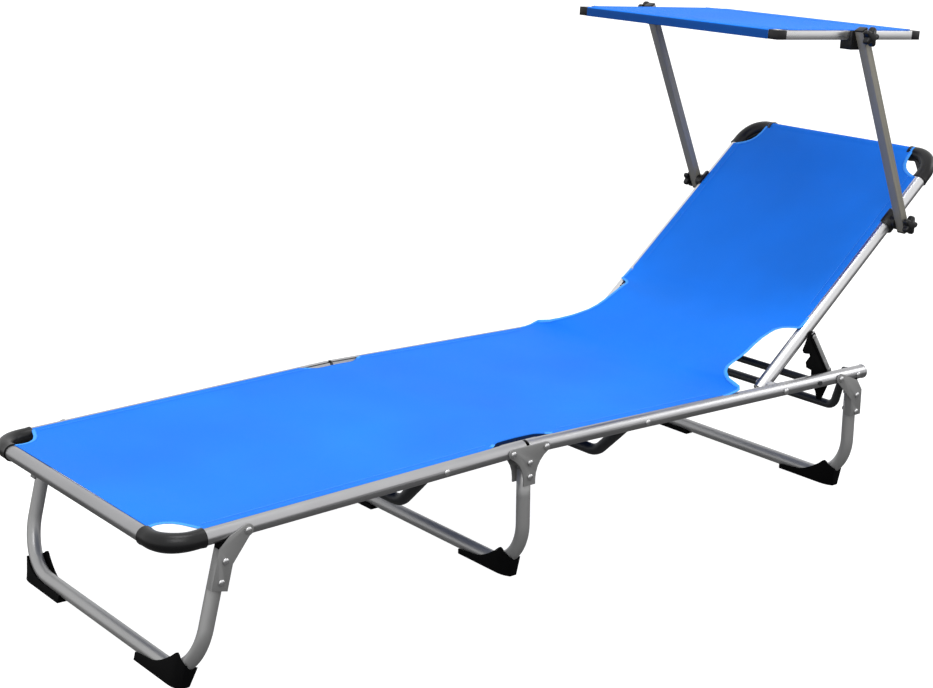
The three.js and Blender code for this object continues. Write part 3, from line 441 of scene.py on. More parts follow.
def crisp(piece, width, degrees, segments):
    """Rounds the hard edges of a moulded or pressed piece."""
    bevel = piece.modifiers.new("Rounded edges", "BEVEL")
    bevel.width = width
    bevel.segments = segments
    bevel.limit_method = "ANGLE"
    bevel.angle_limit = math.radians(degrees)


def sharpen(piece, degrees):
    """Keeps the shading of faces apart where they meet at a steep angle."""
    edges = piece.modifiers.new("Sharp edges", "EDGE_SPLIT")
    edges.split_angle = math.radians(degrees)


def bent_path(corners, bend, steps):
    """Straight runs with a round bend at each inner corner, as (point, direction) pairs."""
    corners = [Vector(c) for c in corners]
    path = [(corners[0], (corners[1] - corners[0]).normalized())]
    for before_corner, corner, after_corner in zip(corners, corners[1:], corners[2:]):
        before = (corner - before_corner).normalized()
        after = (after_corner - corner).normalized()
        turn = before.angle(after)
        inward = (after - before).normalized()
        centre = corner + inward * (bend / math.cos(turn / 2))
        start = corner - before * (bend * math.tan(turn / 2)) - centre
        axis = before.cross(after).normalized()
        for i in range(steps + 1):
            spin = Matrix.Rotation(turn * i / steps, 3, axis)
            path.append((centre + spin @ start, spin @ before))
    path.append((corners[-1], (corners[-1] - corners[-2]).normalized()))
    return path


def straight_steps(path, length):
    """Adds stations along long straight runs, so that shading and patterns stay even."""
    filled = [path[0]]
    for (a, _), (b, direction) in zip(path, path[1:]):
        count = int((b - a).length / length)
        for i in range(1, count):
            filled.append((a.lerp(b, i / count), (b - a).normalized()))
        filled.append((b, direction))
    return filled


def turns(count):
    """Angles at even steps round a circle."""
    return [2 * math.pi * k / count for k in range(count)]


def skin(bm, rings, ends=True):
    """Joins rings of corners into a wall, with a face over each end if asked."""
    for first, second in zip(rings, rings[1:]):
        for k in range(len(first)):
            n = (k + 1) % len(first)
            bm.faces.new((first[k], first[n], second[n], second[k]))
    if ends:
        bm.faces.new(list(reversed(rings[0])))
        bm.faces.new(rings[-1])


def add_tube(bm, path, radius, sides, wall=0, radii=None):
    """Sweeps a round section along the path; wall leaves the ends open with a bore behind them."""
    direction = path[0][1]
    up = Vector((0, 0, 1)) if abs(direction.z) < 0.9 else Vector((1, 0, 0))
    normal = direction.cross(up).normalized()
    rings = []
    for (point, tangent), r in zip(path, radii or [radius] * len(path)):
        normal = direction.rotation_difference(tangent) @ normal
        direction = tangent
        other = tangent.cross(normal)
        rings.append([
            bm.verts.new(point + (normal * math.cos(angle) + other * math.sin(angle)) * r)
            for angle in turns(sides)])
    skin(bm, rings, ends=not wall)
    if wall:
        add_mouth(bm, rings[0], path[0][0], -path[0][1], radius, wall)
        add_mouth(bm, rings[-1], path[-1][0], path[-1][1], radius, wall)


def add_mouth(bm, ring, point, outward, radius, wall):
    """The wall of an open tube end and the start of its bore."""
    depth = radius * 1.5
    share = (radius - wall) / radius
    inner = [bm.verts.new(point + (v.co - point) * share) for v in ring]
    deep = [bm.verts.new(v.co - outward * depth) for v in inner]
    skin(bm, (ring, inner, deep), ends=False)
    bm.faces.new(deep)


def transform(bm, matrix):
    bmesh.ops.transform(bm, matrix=matrix, verts=bm.verts)


def interpolate(table, value):
    """The value between the places of a table, in straight steps."""
    if value <= table[0][0]:
        return table[0][1]
    for (a, wa), (b, wb) in zip(table, table[1:]):
        if value <= b:
            share = (value - a) / (b - a)
            return wa + (wb - wa) * share
    return table[-1][1]


def clamp(value):
    return min(1, max(0, value))


# Metal

WELD_DISTANCE = 0.00001
PRESSED_ROUND = 0.0005
CAP_PROUD = 0.0006
CAP_LIP = 0.0008
CAP_OVERLAP = 0.002
CAP_RUN = 0.001
CAP_DOME = 0.0065
CAP_TIP = 0.0015
FINISHES = (
    (("roof_foot_bar", "roof_head_bar", "back_top_bar"), "Satin aluminium across the bed"),
    (("foot_bar",), "Satin foot bar"),
    (("foot_rail", "seat_rail"), "Satin rail"),
    (("back_rail", "roof_side"), "Satin aluminium along the bed"),
    # painted shade: the brackets take the darker copy of the legs' grey
    (("middle_bracket", "front_bracket", "rear_bracket"), "Grey plate in painted shade"),
    (("arm_near", "arm_far"), "Grey coated arm"),
    # painted shade: the ratchet's cross bar takes the near-black steel that stands in for the shade under the
    # bed
    (("ratchet_bar",), "Grey steel in painted shade"),
    (("stop", "ratchet_near", "ratchet_far"), "Dull black plastic"),
    (("arm_clamp", "roof_clamp", "roof_corner"), "Black moulded plastic"),
)
PRESSED = ("bracket", "stop", "clamp", "corner", "arm_near", "arm_far", "ratchet_near", "ratchet_far",
           "roof_side", "roof_foot_bar", "roof_head_bar")


class LOUNGER_OT_metal(bpy.types.Operator):
    """Finishes the solids of the frame: smooth shading, rounded pressed edges and their materials"""

    bl_idname = "lounger.metal"
    bl_label = "Finish the frame"

    def execute(self, context):
        for node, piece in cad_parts.items():
            fitting = [finish for names, finish in FINISHES if any(part in node for part in names)]
            if not fitting:
                continue
            piece.data.materials.clear()
            piece.data.materials.append(bpy.data.materials[fitting[0]])
            for polygon in piece.data.polygons:
                polygon.use_smooth = True
            weld = piece.modifiers.new("Weld", "WELD")
            weld.merge_threshold = WELD_DISTANCE
            if any(part in node for part in PRESSED):
                crisp(piece, PRESSED_ROUND, 40, 2)
            sharpen(piece, 34)
        return {"FINISHED"}


class LOUNGER_OT_end_caps(bpy.types.Operator):
    """Rounds the closed head ends of the seat rails"""

    bl_idname = "lounger.end_caps"
    bl_label = "Rail ends"

    def execute(self, context):
        forward = Vector((1, 0, 0))
        rim = RAIL_RADIUS + CAP_PROUD
        for side, sign in SIDES:
            start = Vector((SEAT_LENGTH - CAP_OVERLAP, sign * RAIL_HALF_SPACING, 0))
            path = [(start, forward)]
            radii = [rim - CAP_LIP]
            for i in range(9):
                angle = math.pi / 2 * i / 8
                path.append((start + forward * (CAP_RUN + CAP_DOME * math.sin(angle)), forward))
                radii.append(max(CAP_TIP, rim * math.cos(angle) ** 0.55))
            bm = bmesh.new()
            add_tube(bm, path, RAIL_RADIUS, 36, radii=radii)
            transform(bm, SEAT)
            new_piece(f"rail_end_{side}", bm, "Satin rail", "seat_frame")
        return {"FINISHED"}


class LOUNGER_OT_legs(bpy.types.Operator):
    """Bends the three U-shaped legs"""

    bl_idname = "lounger.legs"
    bl_label = "Legs"

    def execute(self, context):
        y = RAIL_HALF_SPACING
        for leg, place, offset, reach, top, _ in LEGS:
            corners = ((offset, -y, -top), (offset, -y, -reach), (offset, y, -reach), (offset, y, -top))
            bm = bmesh.new()
            path = straight_steps(bent_path(corners, LEG_BEND, 20), TUBE_STEP)
            add_tube(bm, path, LEG_RADIUS, 32, wall=LEG_WALL)
            transform(bm, place)
            new_piece(f"{leg}_leg_tube", bm, "Grey coated steel", f"{leg}_leg_set", f"{leg}_leg")
        return {"FINISHED"}


class LOUNGER_OT_braces(bpy.types.Operator):
    """Bends the cross braces under the bed, their ends square to the rails"""

    bl_idname = "lounger.braces"
    bl_label = "Cross braces"

    def execute(self, context):
        dipped = (BRACE_DROP, BRACE_RUN, BRACE_BEND, BRACE_RADIUS)
        square = (BAIL_DROP, BAIL_RUN, BAIL_BEND, BAIL_RADIUS)
        braces = (
            ("foot_brace", FOOT, -FOOT_BRACE, dipped, "foot_section"),
            ("seat_brace", SEAT, SEAT_BRACE, dipped, "seat_frame"),
            ("rear_bail", SEAT, BAIL_PLACE, square, "seat_frame"),
        )
        across = Vector((0, 1, 0))
        inner_face = RAIL_HALF_SPACING - RAIL_RADIUS - GAP
        for node, place, along, (drop, run, bend, radius), body in braces:
            end = inner_face - radius * math.sin(math.atan2(drop, run))
            dip = end - run
            corners = ((along, -end, 0), (along, -dip, -drop), (along, dip, -drop), (along, end, 0))
            path = bent_path(corners, bend, 14)
            for i in (0, -1):
                path[i] = (path[i][0], (path[i][1] + across).normalized())
            path.insert(0, (Vector((along, -inner_face, 0)), across))
            path.append((Vector((along, inner_face, 0)), across))
            bm = bmesh.new()
            add_tube(bm, straight_steps(path, TUBE_STEP), radius, 28)
            transform(bm, place)
            # painted shade: the braces take the near-black steel that stands in for the shade under the bed
            new_piece(f"{node}_tube", bm, "Grey steel in painted shade", body, node)
        return {"FINISHED"}


# Small forms set on points: rivet heads and stitches

RIVET_RADIUS = 0.0051
RIVET_DOME = 0.3
STITCH_PITCH = 0.0045
STITCH_RADIUS = 0.0005
STITCH_STRETCH = 3.6


def link_nodes(tree, nodes, links):
    for source, output, target, entry in links:
        tree.links.new(nodes[source].outputs[output], nodes[target].inputs[entry])


def sphere_tree(name, sizes, segments, rings, stretch):
    """A node tree that sets a small stretched sphere on each point, and its nodes by their use."""
    tree = bpy.data.node_groups.new(name, "GeometryNodeTree")
    sockets = [("Geometry", "INPUT", "Geometry")] + [(size, "INPUT", "Float") for size in sizes]
    sockets += [("Material", "INPUT", "Material"), ("Geometry", "OUTPUT", "Geometry")]
    for label, way, kind in sockets:
        tree.interface.new_socket(label, in_out=way, socket_type=f"NodeSocket{kind}")
    kinds = (
        ("start", "NodeGroupInput"), ("end", "NodeGroupOutput"), ("ball", "GeometryNodeMeshUVSphere"),
        ("stretch", "ShaderNodeCombineXYZ"), ("copies", "GeometryNodeInstanceOnPoints"),
        ("solid", "GeometryNodeRealizeInstances"), ("finish", "GeometryNodeSetMaterial"),
    )
    nodes = {use: tree.nodes.new(kind) for use, kind in kinds}
    nodes["ball"].inputs["Segments"].default_value = segments
    nodes["ball"].inputs["Rings"].default_value = rings
    for axis, share in zip("XYZ", stretch):
        nodes["stretch"].inputs[axis].default_value = share
    link_nodes(tree, nodes, (
        ("start", "Radius", "ball", "Radius"), ("ball", "Mesh", "copies", "Instance"),
        ("stretch", "Vector", "copies", "Scale"), ("copies", "Instances", "solid", "Geometry"),
        ("start", "Material", "finish", "Material"), ("finish", "Geometry", "end", "Geometry"),
    ))
    return tree, nodes


def rivet_tree():
    """Sets one domed head on each point."""
    tree, nodes = sphere_tree("Rivet heads", ("Radius", "Dome"), 20, 10, (1, 1, 1))
    nodes["smooth"] = tree.nodes.new("GeometryNodeSetShadeSmooth")
    link_nodes(tree, nodes, (
        ("start", "Geometry", "copies", "Points"), ("start", "Dome", "stretch", "Y"),
        ("solid", "Geometry", "smooth", "Geometry"), ("smooth", "Geometry", "finish", "Geometry"),
    ))
    return tree


def stitch_tree():
    """Lays short threads end to end along a line."""
    tree, nodes = sphere_tree("Stitches", ("Radius", "Pitch"), 6, 4, (1, 1, STITCH_STRETCH))
    nodes["curve"] = tree.nodes.new("GeometryNodeMeshToCurve")
    nodes["points"] = tree.nodes.new("GeometryNodeCurveToPoints")
    nodes["points"].mode = "LENGTH"
    link_nodes(tree, nodes, (
        ("start", "Geometry", "curve", "Mesh"), ("curve", "Curve", "points", "Curve"),
        ("start", "Pitch", "points", "Length"), ("points", "Points", "copies", "Points"),
        ("points", "Rotation", "copies", "Rotation"), ("solid", "Geometry", "finish", "Geometry"),
    ))
    return tree


def grown(name, points, edges, tree, finish, sizes):
    """A piece that a node tree grows on points, or on the lines between them."""
    mesh = bpy.data.meshes.new("points")
    mesh.from_pydata(points, edges, [])
    source = linked("points", mesh)
    modifier = source.modifiers.new(tree.name, "NODES")
    modifier.node_group = tree
    values = {**sizes, "Material": bpy.data.materials[finish]}
    for item in tree.interface.items_tree:
        if item.in_out == "INPUT" and item.name in values:
            modifier[item.identifier] = values[item.name]
    return bake(source, name)


def stitches(name, lines, tree):
    """One piece with a row of stitches along each line of points."""
    points = []
    edges = []
    for line in lines:
        base = len(points)
        points += line
        edges += [(base + i, base + i + 1) for i in range(len(line) - 1)]
    sizes = {"Radius": STITCH_RADIUS, "Pitch": STITCH_PITCH}
    return grown(name, points, edges, tree, "Blue sewing thread", sizes)


class LOUNGER_OT_rivets(bpy.types.Operator):
    """Sets domed heads on the rivets and pivot pins"""

    bl_idname = "lounger.rivets"
    bl_label = "Rivets"

    def execute(self, context):
        face = RAIL_HALF_SPACING + RAIL_RADIUS + GAP
        plain = face + HEAD_HEIGHT / 4
        plated = face + PLATE + HEAD_HEIGHT
        pivot_drop = MIDDLE_PIVOT * math.sin((FOOT_SLOPE + SEAT_SLOPE) / 2)
        pivots = [(-MIDDLE_PIVOT, -pivot_drop), (MIDDLE_PIVOT, -pivot_drop)]
        sets = (
            ("seat_frame", SEAT, plain, [(SEAT_BRACE, 0), (BAIL_PLACE, 0)]),
            ("foot_section", FOOT, plain, [(-FOOT_BRACE, 0)]),
            ("backrest", BACK, face + HEAD_HEIGHT, [(0, 0)]),
            ("middle_leg_set", MIDDLE, plated, pivots + [(0, -d) for d in MIDDLE_RIVETS]),
            ("front_leg_set", FRONT, plated, [(0, 0)] + [(-FRONT_OFFSET, -d) for d in FRONT_RIVETS]),
            ("rear_leg_set", REAR, plated, [(0, 0)] + [(REAR_OFFSET, -d) for d in REAR_RIVETS]),
        )
        tree = rivet_tree()
        sizes = {"Radius": RIVET_RADIUS, "Dome": RIVET_DOME}
        for body, place, y, spots in sets:
            points = [place @ Vector((x, sign * y, z)) for x, z in spots for _, sign in SIDES]
            heads = grown(f"rivet_heads_{body}", points, [], tree, "Bright rivet", sizes)
            settle(heads, body)
        return {"FINISHED"}


# Plastic

ELBOW_STEP = 0.006
ELBOW_WALL = 0.0011
ELBOW_LIP = 0.005
ELBOW_LIP_RISE = 0.0007
ELBOW_SWELL = 0.0008
WEB_SETBACK = 0.001
WEB_HALF = 0.0032
WEB_BOW = 0.002
WEB_STEPS = 12

SHOE_HALF_WIDTH = 0.0145
SHOE_WALL = 0.0028
SHOE_PLAY = 0.0004
SHOE_ROUND = 0.0009
FLARE_HEIGHT = 0.027
FLARE_SHARE = 0.55
# Stations across the bed, in millimetres
SHOE_STATIONS = (
    128, 129, 140, 160, 176, 190, 196, 203, 209, 215, 221, 227, 232, 236, 240, 244, 247, 250, 254, 257, 258)
# Heights of a shoe's tall wall and of its low wall against the distance across the bed, in millimetres
SHOE_TALL = ((128, 8.5), (176, 13.5), (190, 18), (203, 24), (215, 31), (227, 39), (236, 46.5), (240, 48.5),
             (244, 47), (250, 42), (258, 37))
SHOE_LOW = ((128, 8.5), (176, 8.5), (195, 9.5), (215, 12.5), (227, 16), (240, 21.5), (250, 27.5), (258, 33))
# How much of its full width a shoe keeps at its foot and at its top, which rounds its outer corner
SHOE_FOOT = ((232, 1), (240, 0.95), (246, 0.86), (250, 0.76), (254, 0.62), (258, 0.45))
SHOE_TOP = ((240, 1), (248, 0.97), (254, 0.9), (258, 0.84))
SHOE_FLARE = ((250, 0), (258, 1))

KNOB_RADIUS = 0.018
KNOB_HUB_RADIUS = 0.008
KNOB_HUB_HEIGHT = 0.004
KNOB_HEIGHT = 0.011
KNOB_HUB = KNOB_HUB_RADIUS / KNOB_RADIUS
KNOB_FACE = ARM_HALF_SPACING + ARM_WIDTH / 2 + GAP
KNOB_START = KNOB_FACE + KNOB_HUB_HEIGHT
KNOB_END = KNOB_START + KNOB_HEIGHT
LOBE_DEPTH = 0.2
LOBE_POWER = 1.3
BOLT_RADIUS = 0.003
BOLT_OVERLAP = 0.001
# Rings of a star knob from the arm outwards: place on its axis, share of its radius, share of its lobes
KNOB_LAYERS = (
    (KNOB_FACE, KNOB_HUB, 0), (KNOB_START, KNOB_HUB, 0), (KNOB_START, 0.93, 1),
    (KNOB_START + 0.0015, 0.99, 1), (KNOB_START + 0.004, 1, 1), (KNOB_END - 0.0025, 0.98, 1),
    (KNOB_END - 0.0007, 0.92, 1), (KNOB_END, 0.82, 1), (KNOB_END, 0.5, 0.4),
    (KNOB_END + 0.0012, 0.42, 0), (KNOB_END + 0.0018, 0.3, 0),
)

STRAP_THICKNESS = 0.0018
STRAP_ROUND = 0.0006
STRAP_HEAD_RUN = 0.006
STRAP_HEEL_RUN = 0.004
STRAP_HEAD_EDGES = (-0.002, 0.0065)
STRAP_HEEL_EDGES = (0.0035, -0.005)
STUD_HEAD_RUN = 0.002
STUD_HEEL_RUN = 0.008
STUD_STEPS = (-0.001, 0.001, 0.0018)
STUD_RADII = (0.0042, 0.0042, 0.0026)

PLUG_LOW = -0.014
PLUG_HIGH = ARM_LENGTH + 0.011
PLUG_DEPTH = 0.0035
PLUG_PROUD = 0.0006
PLUG_ROUND = 0.0015


class LOUNGER_OT_elbows(bpy.types.Operator):
    """Moulds the elbows of the foot end and the backrest, with a web across the bend on the backrest"""

    bl_idname = "lounger.elbows"
    bl_label = "Elbows"

    def execute(self, context):
        ends = (
            ("foot", FOOT, -FOOT_LENGTH, RAIL_HALF_SPACING, 1, "foot_section"),
            ("back", BACK, BACK_LENGTH, BACK_HALF_SPACING, -1, "backrest"),
        )
        for side, sign in SIDES:
            for end, place, x, half, towards, body in ends:
                y = sign * half
                corners = ((x + towards * ELBOW_REACH, y, 0), (x, y, 0), (x, y - sign * ELBOW_REACH, 0))
                path = straight_steps(bent_path(corners, ELBOW_BEND, 24), ELBOW_STEP)
                bm = bmesh.new()
                add_tube(bm, path, ELBOW_RADIUS, 40, wall=ELBOW_WALL, radii=self.radii(path))
                if end == "back":
                    self.add_web(bm, x, y, sign, towards)
                transform(bm, place)
                piece = new_piece(f"{end}_elbow_moulding_{side}", bm, "Black moulded plastic", body,
                                  f"{end}_elbow_{side}")
                sharpen(piece, 45)
        return {"FINISHED"}

    @staticmethod
    def radii(path):
        """A lip at each mouth and a slight swell in the middle of the bend."""
        lengths = [0]
        for (a, _), (b, _) in zip(path, path[1:]):
            lengths.append(lengths[-1] + (b - a).length)
        radii = []
        for s in lengths:
            edge = min(s, lengths[-1] - s)
            middle = math.sin(math.pi * s / lengths[-1])
            lip = (1 - min(1, edge / ELBOW_LIP)) ** 0.5
            radii.append(ELBOW_RADIUS + ELBOW_LIP_RISE * lip + ELBOW_SWELL * middle ** 4)
        return radii

    @staticmethod
    def add_web(bm, x, y, sign, towards):
        reach = ELBOW_REACH - WEB_SETBACK
        bend_middle = ELBOW_BEND * (1 - math.sqrt(0.5))
        outline = [(x + towards * bend_middle, y - sign * bend_middle), (x + towards * reach, y)]
        for i in range(1, WEB_STEPS):
            share = i / WEB_STEPS
            along = Vector((towards * reach * (1 - share), -sign * reach * share))
            along -= Vector((towards, -sign)).normalized() * (WEB_BOW * math.sin(math.pi * share))
            outline.append((x + along.x, y + along.y))
        outline.append((x, y - sign * reach))
        skin(bm, [[bm.verts.new((px, py, z)) for px, py in outline] for z in (-WEB_HALF, WEB_HALF)])


class LOUNGER_OT_shoes(bpy.types.Operator):
    """Moulds the shoes: a channel under each bend with a tall wall and a low one"""

    bl_idname = "lounger.shoes"
    bl_label = "Shoes"

    def execute(self, context):
        for leg, place, offset, reach, _, floor in LEGS:
            ground = -reach - BAR_HEIGHT
            axis = (place.to_3x3() @ Vector((0, 0, 1))).normalized()
            for side, sign in SIDES:
                bm = bmesh.new()
                rings = []
                for y_mm in SHOE_STATIONS:
                    y = y_mm / PER_METRE
                    ring = []
                    for x, height in self.section(y_mm):
                        rise = height or 0
                        if abs(x) == SHOE_HALF_WIDTH:
                            x *= interpolate(SHOE_FOOT if height is None else SHOE_TOP, y_mm)
                        flare = max(0, rise - FLARE_HEIGHT) * FLARE_SHARE * interpolate(SHOE_FLARE, y_mm)
                        point = place @ Vector((offset - sign * x, sign * (y + flare), ground + rise))
                        if height is None:
                            point += axis * ((floor - point.z) / axis.z)
                        ring.append(bm.verts.new(point))
                    rings.append(ring)
                skin(bm, rings)
                piece = new_piece(f"{leg}_shoe_moulding_{side}", bm, "Dull black plastic", f"{leg}_leg_set",
                                  f"{leg}_shoe_{side}")
                crisp(piece, SHOE_ROUND, 30, 3)
                sharpen(piece, 50)
        return {"FINISHED"}

    @staticmethod
    def section(y_mm):
        """Corners of the channel as offset and height; None stands for the floor."""
        past_centre = max(0, y_mm / PER_METRE - (RAIL_HALF_SPACING - LEG_BEND))
        hollow = LEG_BEND + LEG_RADIUS + SHOE_PLAY
        core = BAR_HEIGHT + LEG_BEND - math.sqrt(hollow ** 2 - past_centre ** 2)
        tall = interpolate(SHOE_TALL, y_mm) / PER_METRE
        low = interpolate(SHOE_LOW, y_mm) / PER_METRE
        outer = SHOE_HALF_WIDTH
        inner = SHOE_HALF_WIDTH - SHOE_WALL
        return ((-outer, None), (-outer, tall), (-inner, tall), (-inner, core),
                (inner, core), (inner, low), (outer, low), (outer, None))


class LOUNGER_OT_knobs(bpy.types.Operator):
    """Moulds the star knobs that clamp the sunroof"""

    bl_idname = "lounger.knobs"
    bl_label = "Star knobs"

    def execute(self, context):
        lobes = context.scene.lounger_plastic.lobes
        levels = (
            ("lower", ARMS, BACK_HALF_SPACING + RAIL_RADIUS + GAP),
            ("upper", ROOF, ROOF_WIDTH / 2 + GAP),
        )
        for level, place, bolt_end in levels:
            for side, sign in SIDES:
                bm = bmesh.new()
                rings = []
                for y, share, wave in KNOB_LAYERS:
                    ring = []
                    for angle in turns(lobes * 16):
                        valley = (1 - math.cos(lobes * angle)) ** LOBE_POWER / LOBE_POWER
                        r = KNOB_RADIUS * share * (1 - LOBE_DEPTH * wave * valley)
                        ring.append(bm.verts.new((r * math.cos(angle), sign * y, r * math.sin(angle))))
                    rings.append(ring)
                skin(bm, rings)
                outward = Vector((0, sign, 0))
                bolt = [(outward * y, outward) for y in (bolt_end, KNOB_FACE + BOLT_OVERLAP)]
                add_tube(bm, bolt, BOLT_RADIUS, 20)
                transform(bm, Matrix.Translation(place.translation))
                piece = new_piece(f"star_knob_{level}_{side}", bm, "Black moulded plastic",
                                  f"knob_{level}_{side}", f"{level}_knob_{side}")
                sharpen(piece, 50)
        return {"FINISHED"}


class LOUNGER_OT_straps(bpy.types.Operator):
    """Rivets a steel strap along the back edge of each toothed plate"""

    bl_idname = "lounger.straps"
    bl_label = "Ratchet straps"

    def execute(self, context):
        pivot = BACK @ Vector((RATCHET_ALONG, 0, -RATCHET_BELOW))
        towards_heel = Vector((math.cos(HEEL_DIRECTION), 0, math.sin(HEEL_DIRECTION)))
        heel = BACK.translation + towards_heel * RATCHET_HEEL
        along = (heel - pivot).normalized()
        across = Vector((along.z, 0, -along.x))
        if across.x < 0:
            across.negate()
        face = BACK_HALF_SPACING + RAIL_RADIUS + 2 * GAP + RATCHET_THICKNESS
        outer_face = face + STRAP_THICKNESS
        head_end = pivot - along * STRAP_HEAD_RUN
        heel_end = heel - along * STRAP_HEEL_RUN
        corners = [head_end + across * offset for offset in STRAP_HEAD_EDGES]
        corners += [heel_end + across * offset for offset in STRAP_HEEL_EDGES]
        for side, sign in SIDES:
            bm = bmesh.new()
            skin(bm, [[bm.verts.new((c.x, sign * y, c.z)) for c in corners] for y in (outer_face, face)])
            bmesh.ops.bevel(bm, geom=bm.edges, offset=STRAP_ROUND, segments=2, affect="EDGES", profile=0.5)
            outward = Vector((0, sign, 0))
            for point in (pivot + along * STUD_HEAD_RUN, heel_end - along * STUD_HEEL_RUN):
                centre = Vector((point.x, 0, point.z))
                stud = [(centre + outward * (outer_face + step), outward) for step in STUD_STEPS]
                add_tube(bm, stud, STUD_RADII[0], 20, radii=STUD_RADII)
            piece = new_piece(f"ratchet_strap_{side}", bm, "Grey coated steel", f"ratchet_plate_{side}")
            sharpen(piece, 40)
        return {"FINISHED"}


class LOUNGER_OT_arm_caps(bpy.types.Operator):
    """Makes the rounded black plugs in both ends of the sunroof arms"""

    bl_idname = "lounger.arm_caps"
    bl_label = "Arm end plugs"

    def execute(self, context):
        size = (PLUG_DEPTH, ARM_WIDTH + PLUG_PROUD, ARM_DEPTH + PLUG_PROUD)
        for side, sign in SIDES:
            for level, x, outward in (("lower", PLUG_LOW, -1), ("upper", PLUG_HIGH, 1)):
                bm = bmesh.new()
                bmesh.ops.create_cube(bm, size=1)
                centre = Vector((x + outward * PLUG_DEPTH / 2, sign * ARM_HALF_SPACING, 0))
                transform(bm, Matrix.Translation(centre) @ Matrix.Diagonal((*size, 1)))
                bmesh.ops.bevel(
                    bm, geom=bm.edges, offset=PLUG_ROUND, segments=4, affect="EDGES", profile=0.5)
                transform(bm, ARMS)
                new_piece(f"arm_plug_{level}_{side}", bm, "Black moulded plastic", "sunroof_arms")
        return {"FINISHED"}


# Cloth

BED_HALF_WIDTH = 0.277
BACK_HALF_WIDTH = 0.237
LAP_START = 0.4805
LAP_END = 0.1294
LAP_BEND = 0.026
LAP_SHIFT = 0.0075
BED_STEP = 0.008
BED_END = 0.0062
# Places where the rows come closer together: past the foot's corner, beside the hinge, and near the top
FINE_FOOT = -0.58
FINE_HINGE = 0.066
FINE_TOP = 0.5
HINGE_CORE = 0.004
SEAT_START = 0.002
TOP_WRAP = 0.0009
# Half-widths of the bed's cloth against the distance from a corner or a pivot, in millimetres
FOOT_CORNER = (
    (6, 222), (18, 219), (30, 221), (40, 228), (48, 240), (54, 256), (58, 268), (61, 274), (62, 277))
HINGE_NOTCH = ((28, 257), (38, 258), (48, 264), (56, 271), (66, 277))
LAP_OPENING = (
    (-105, 281), (-103, 274), (-101, 262), (-99, 250), (-97, 245), (-94, 240), (-90, 234), (-85, 228),
    (-80, 224), (-70, 218), (-60, 214.5), (-50, 212), (-30, 208), (-10, 205), (10, 203), (30, 203),
    (50, 205), (60, 206.5), (70, 209.5), (75, 212), (79, 217), (82, 223), (84, 230), (86, 240))
BACK_CORNER = ((6, 190), (22, 191), (36, 195), (46, 202), (53, 211), (58, 221), (61, 229), (62.5, 237))
# Height of the free edges above the middle of the lap, in millimetres
LAP_RISE = (
    (-112, 0), (-105, 1.5), (-100, 7), (-95, 10), (-90, 11), (-80, 11.5), (-70, 10.5), (-50, 7.5),
    (-30, 4.5), (-10, 4), (10, 6), (30, 8), (50, 8.5), (60, 8), (70, 6), (80, 3), (90, 0))
# Share of the full sag against the distance from a bar or a pivot, in millimetres
FOOT_SAG = ((6, 0), (96, 1))
SEAT_SAG = ((380, 1), (460, 0.72))
LAP_SAG = 0.72
BACK_SAG = ((140, 0.72), (240, 0.82))
TOP_SAG = ((12, 0), (102, 1))
# Share of the way from the bed's width to the backrest's, against the distance from the backrest's pivot
LAP_NARROWING = ((-120, 0), (90, 1))
# How a held edge climbs onto its tube and rolls down on the outer side of it
EDGE_SLACK = 0.0005
CLIMB_START = 0.018
CLIMB_RUN = 0.014
CLIMB_RISE = 0.0012
ROLL_RUN = 0.002
ROLL_DROP = 0.0006
RIPPLE = 0.0006
# Waves of the ripple, in radians to a metre along the bed and across it
RIPPLE_ALONG = 37
RIPPLE_ACROSS = 9
TAPE_HEIGHT = 0.0024
TAPE_OUT = 0.001
TAPE_DOWN = 0.0004
TAPE_SIDES = 12
HANG_HEIGHT = 0.0115
HANG_DROP = 0.0052
SEAM_UP = 0.0006
HELD_SEAM = (0.016, 0.0008)
HINGE_STRIP = 0.05
LAP_STRIP = 0.05
LAP_BLEND = (0.11, 0.09)


def curve(a, corner, b, steps):
    """Points of a soft bend between two straight runs."""
    points = []
    for i in range(steps + 1):
        t = i / steps
        points.append(a * (1 - t) ** 2 + corner * (2 * t * (1 - t)) + b * t ** 2)
    return points


def stations(part, place, start, end, fine):
    """Points of the middle line on one part of the bed, closer together where fine says so."""
    points = []
    along = start
    while along < end:
        points.append((place @ Vector((along, 0, CLOTH_LIFT)), part, along))
        along += BED_STEP / 3 if fine(along) else BED_STEP
    return points


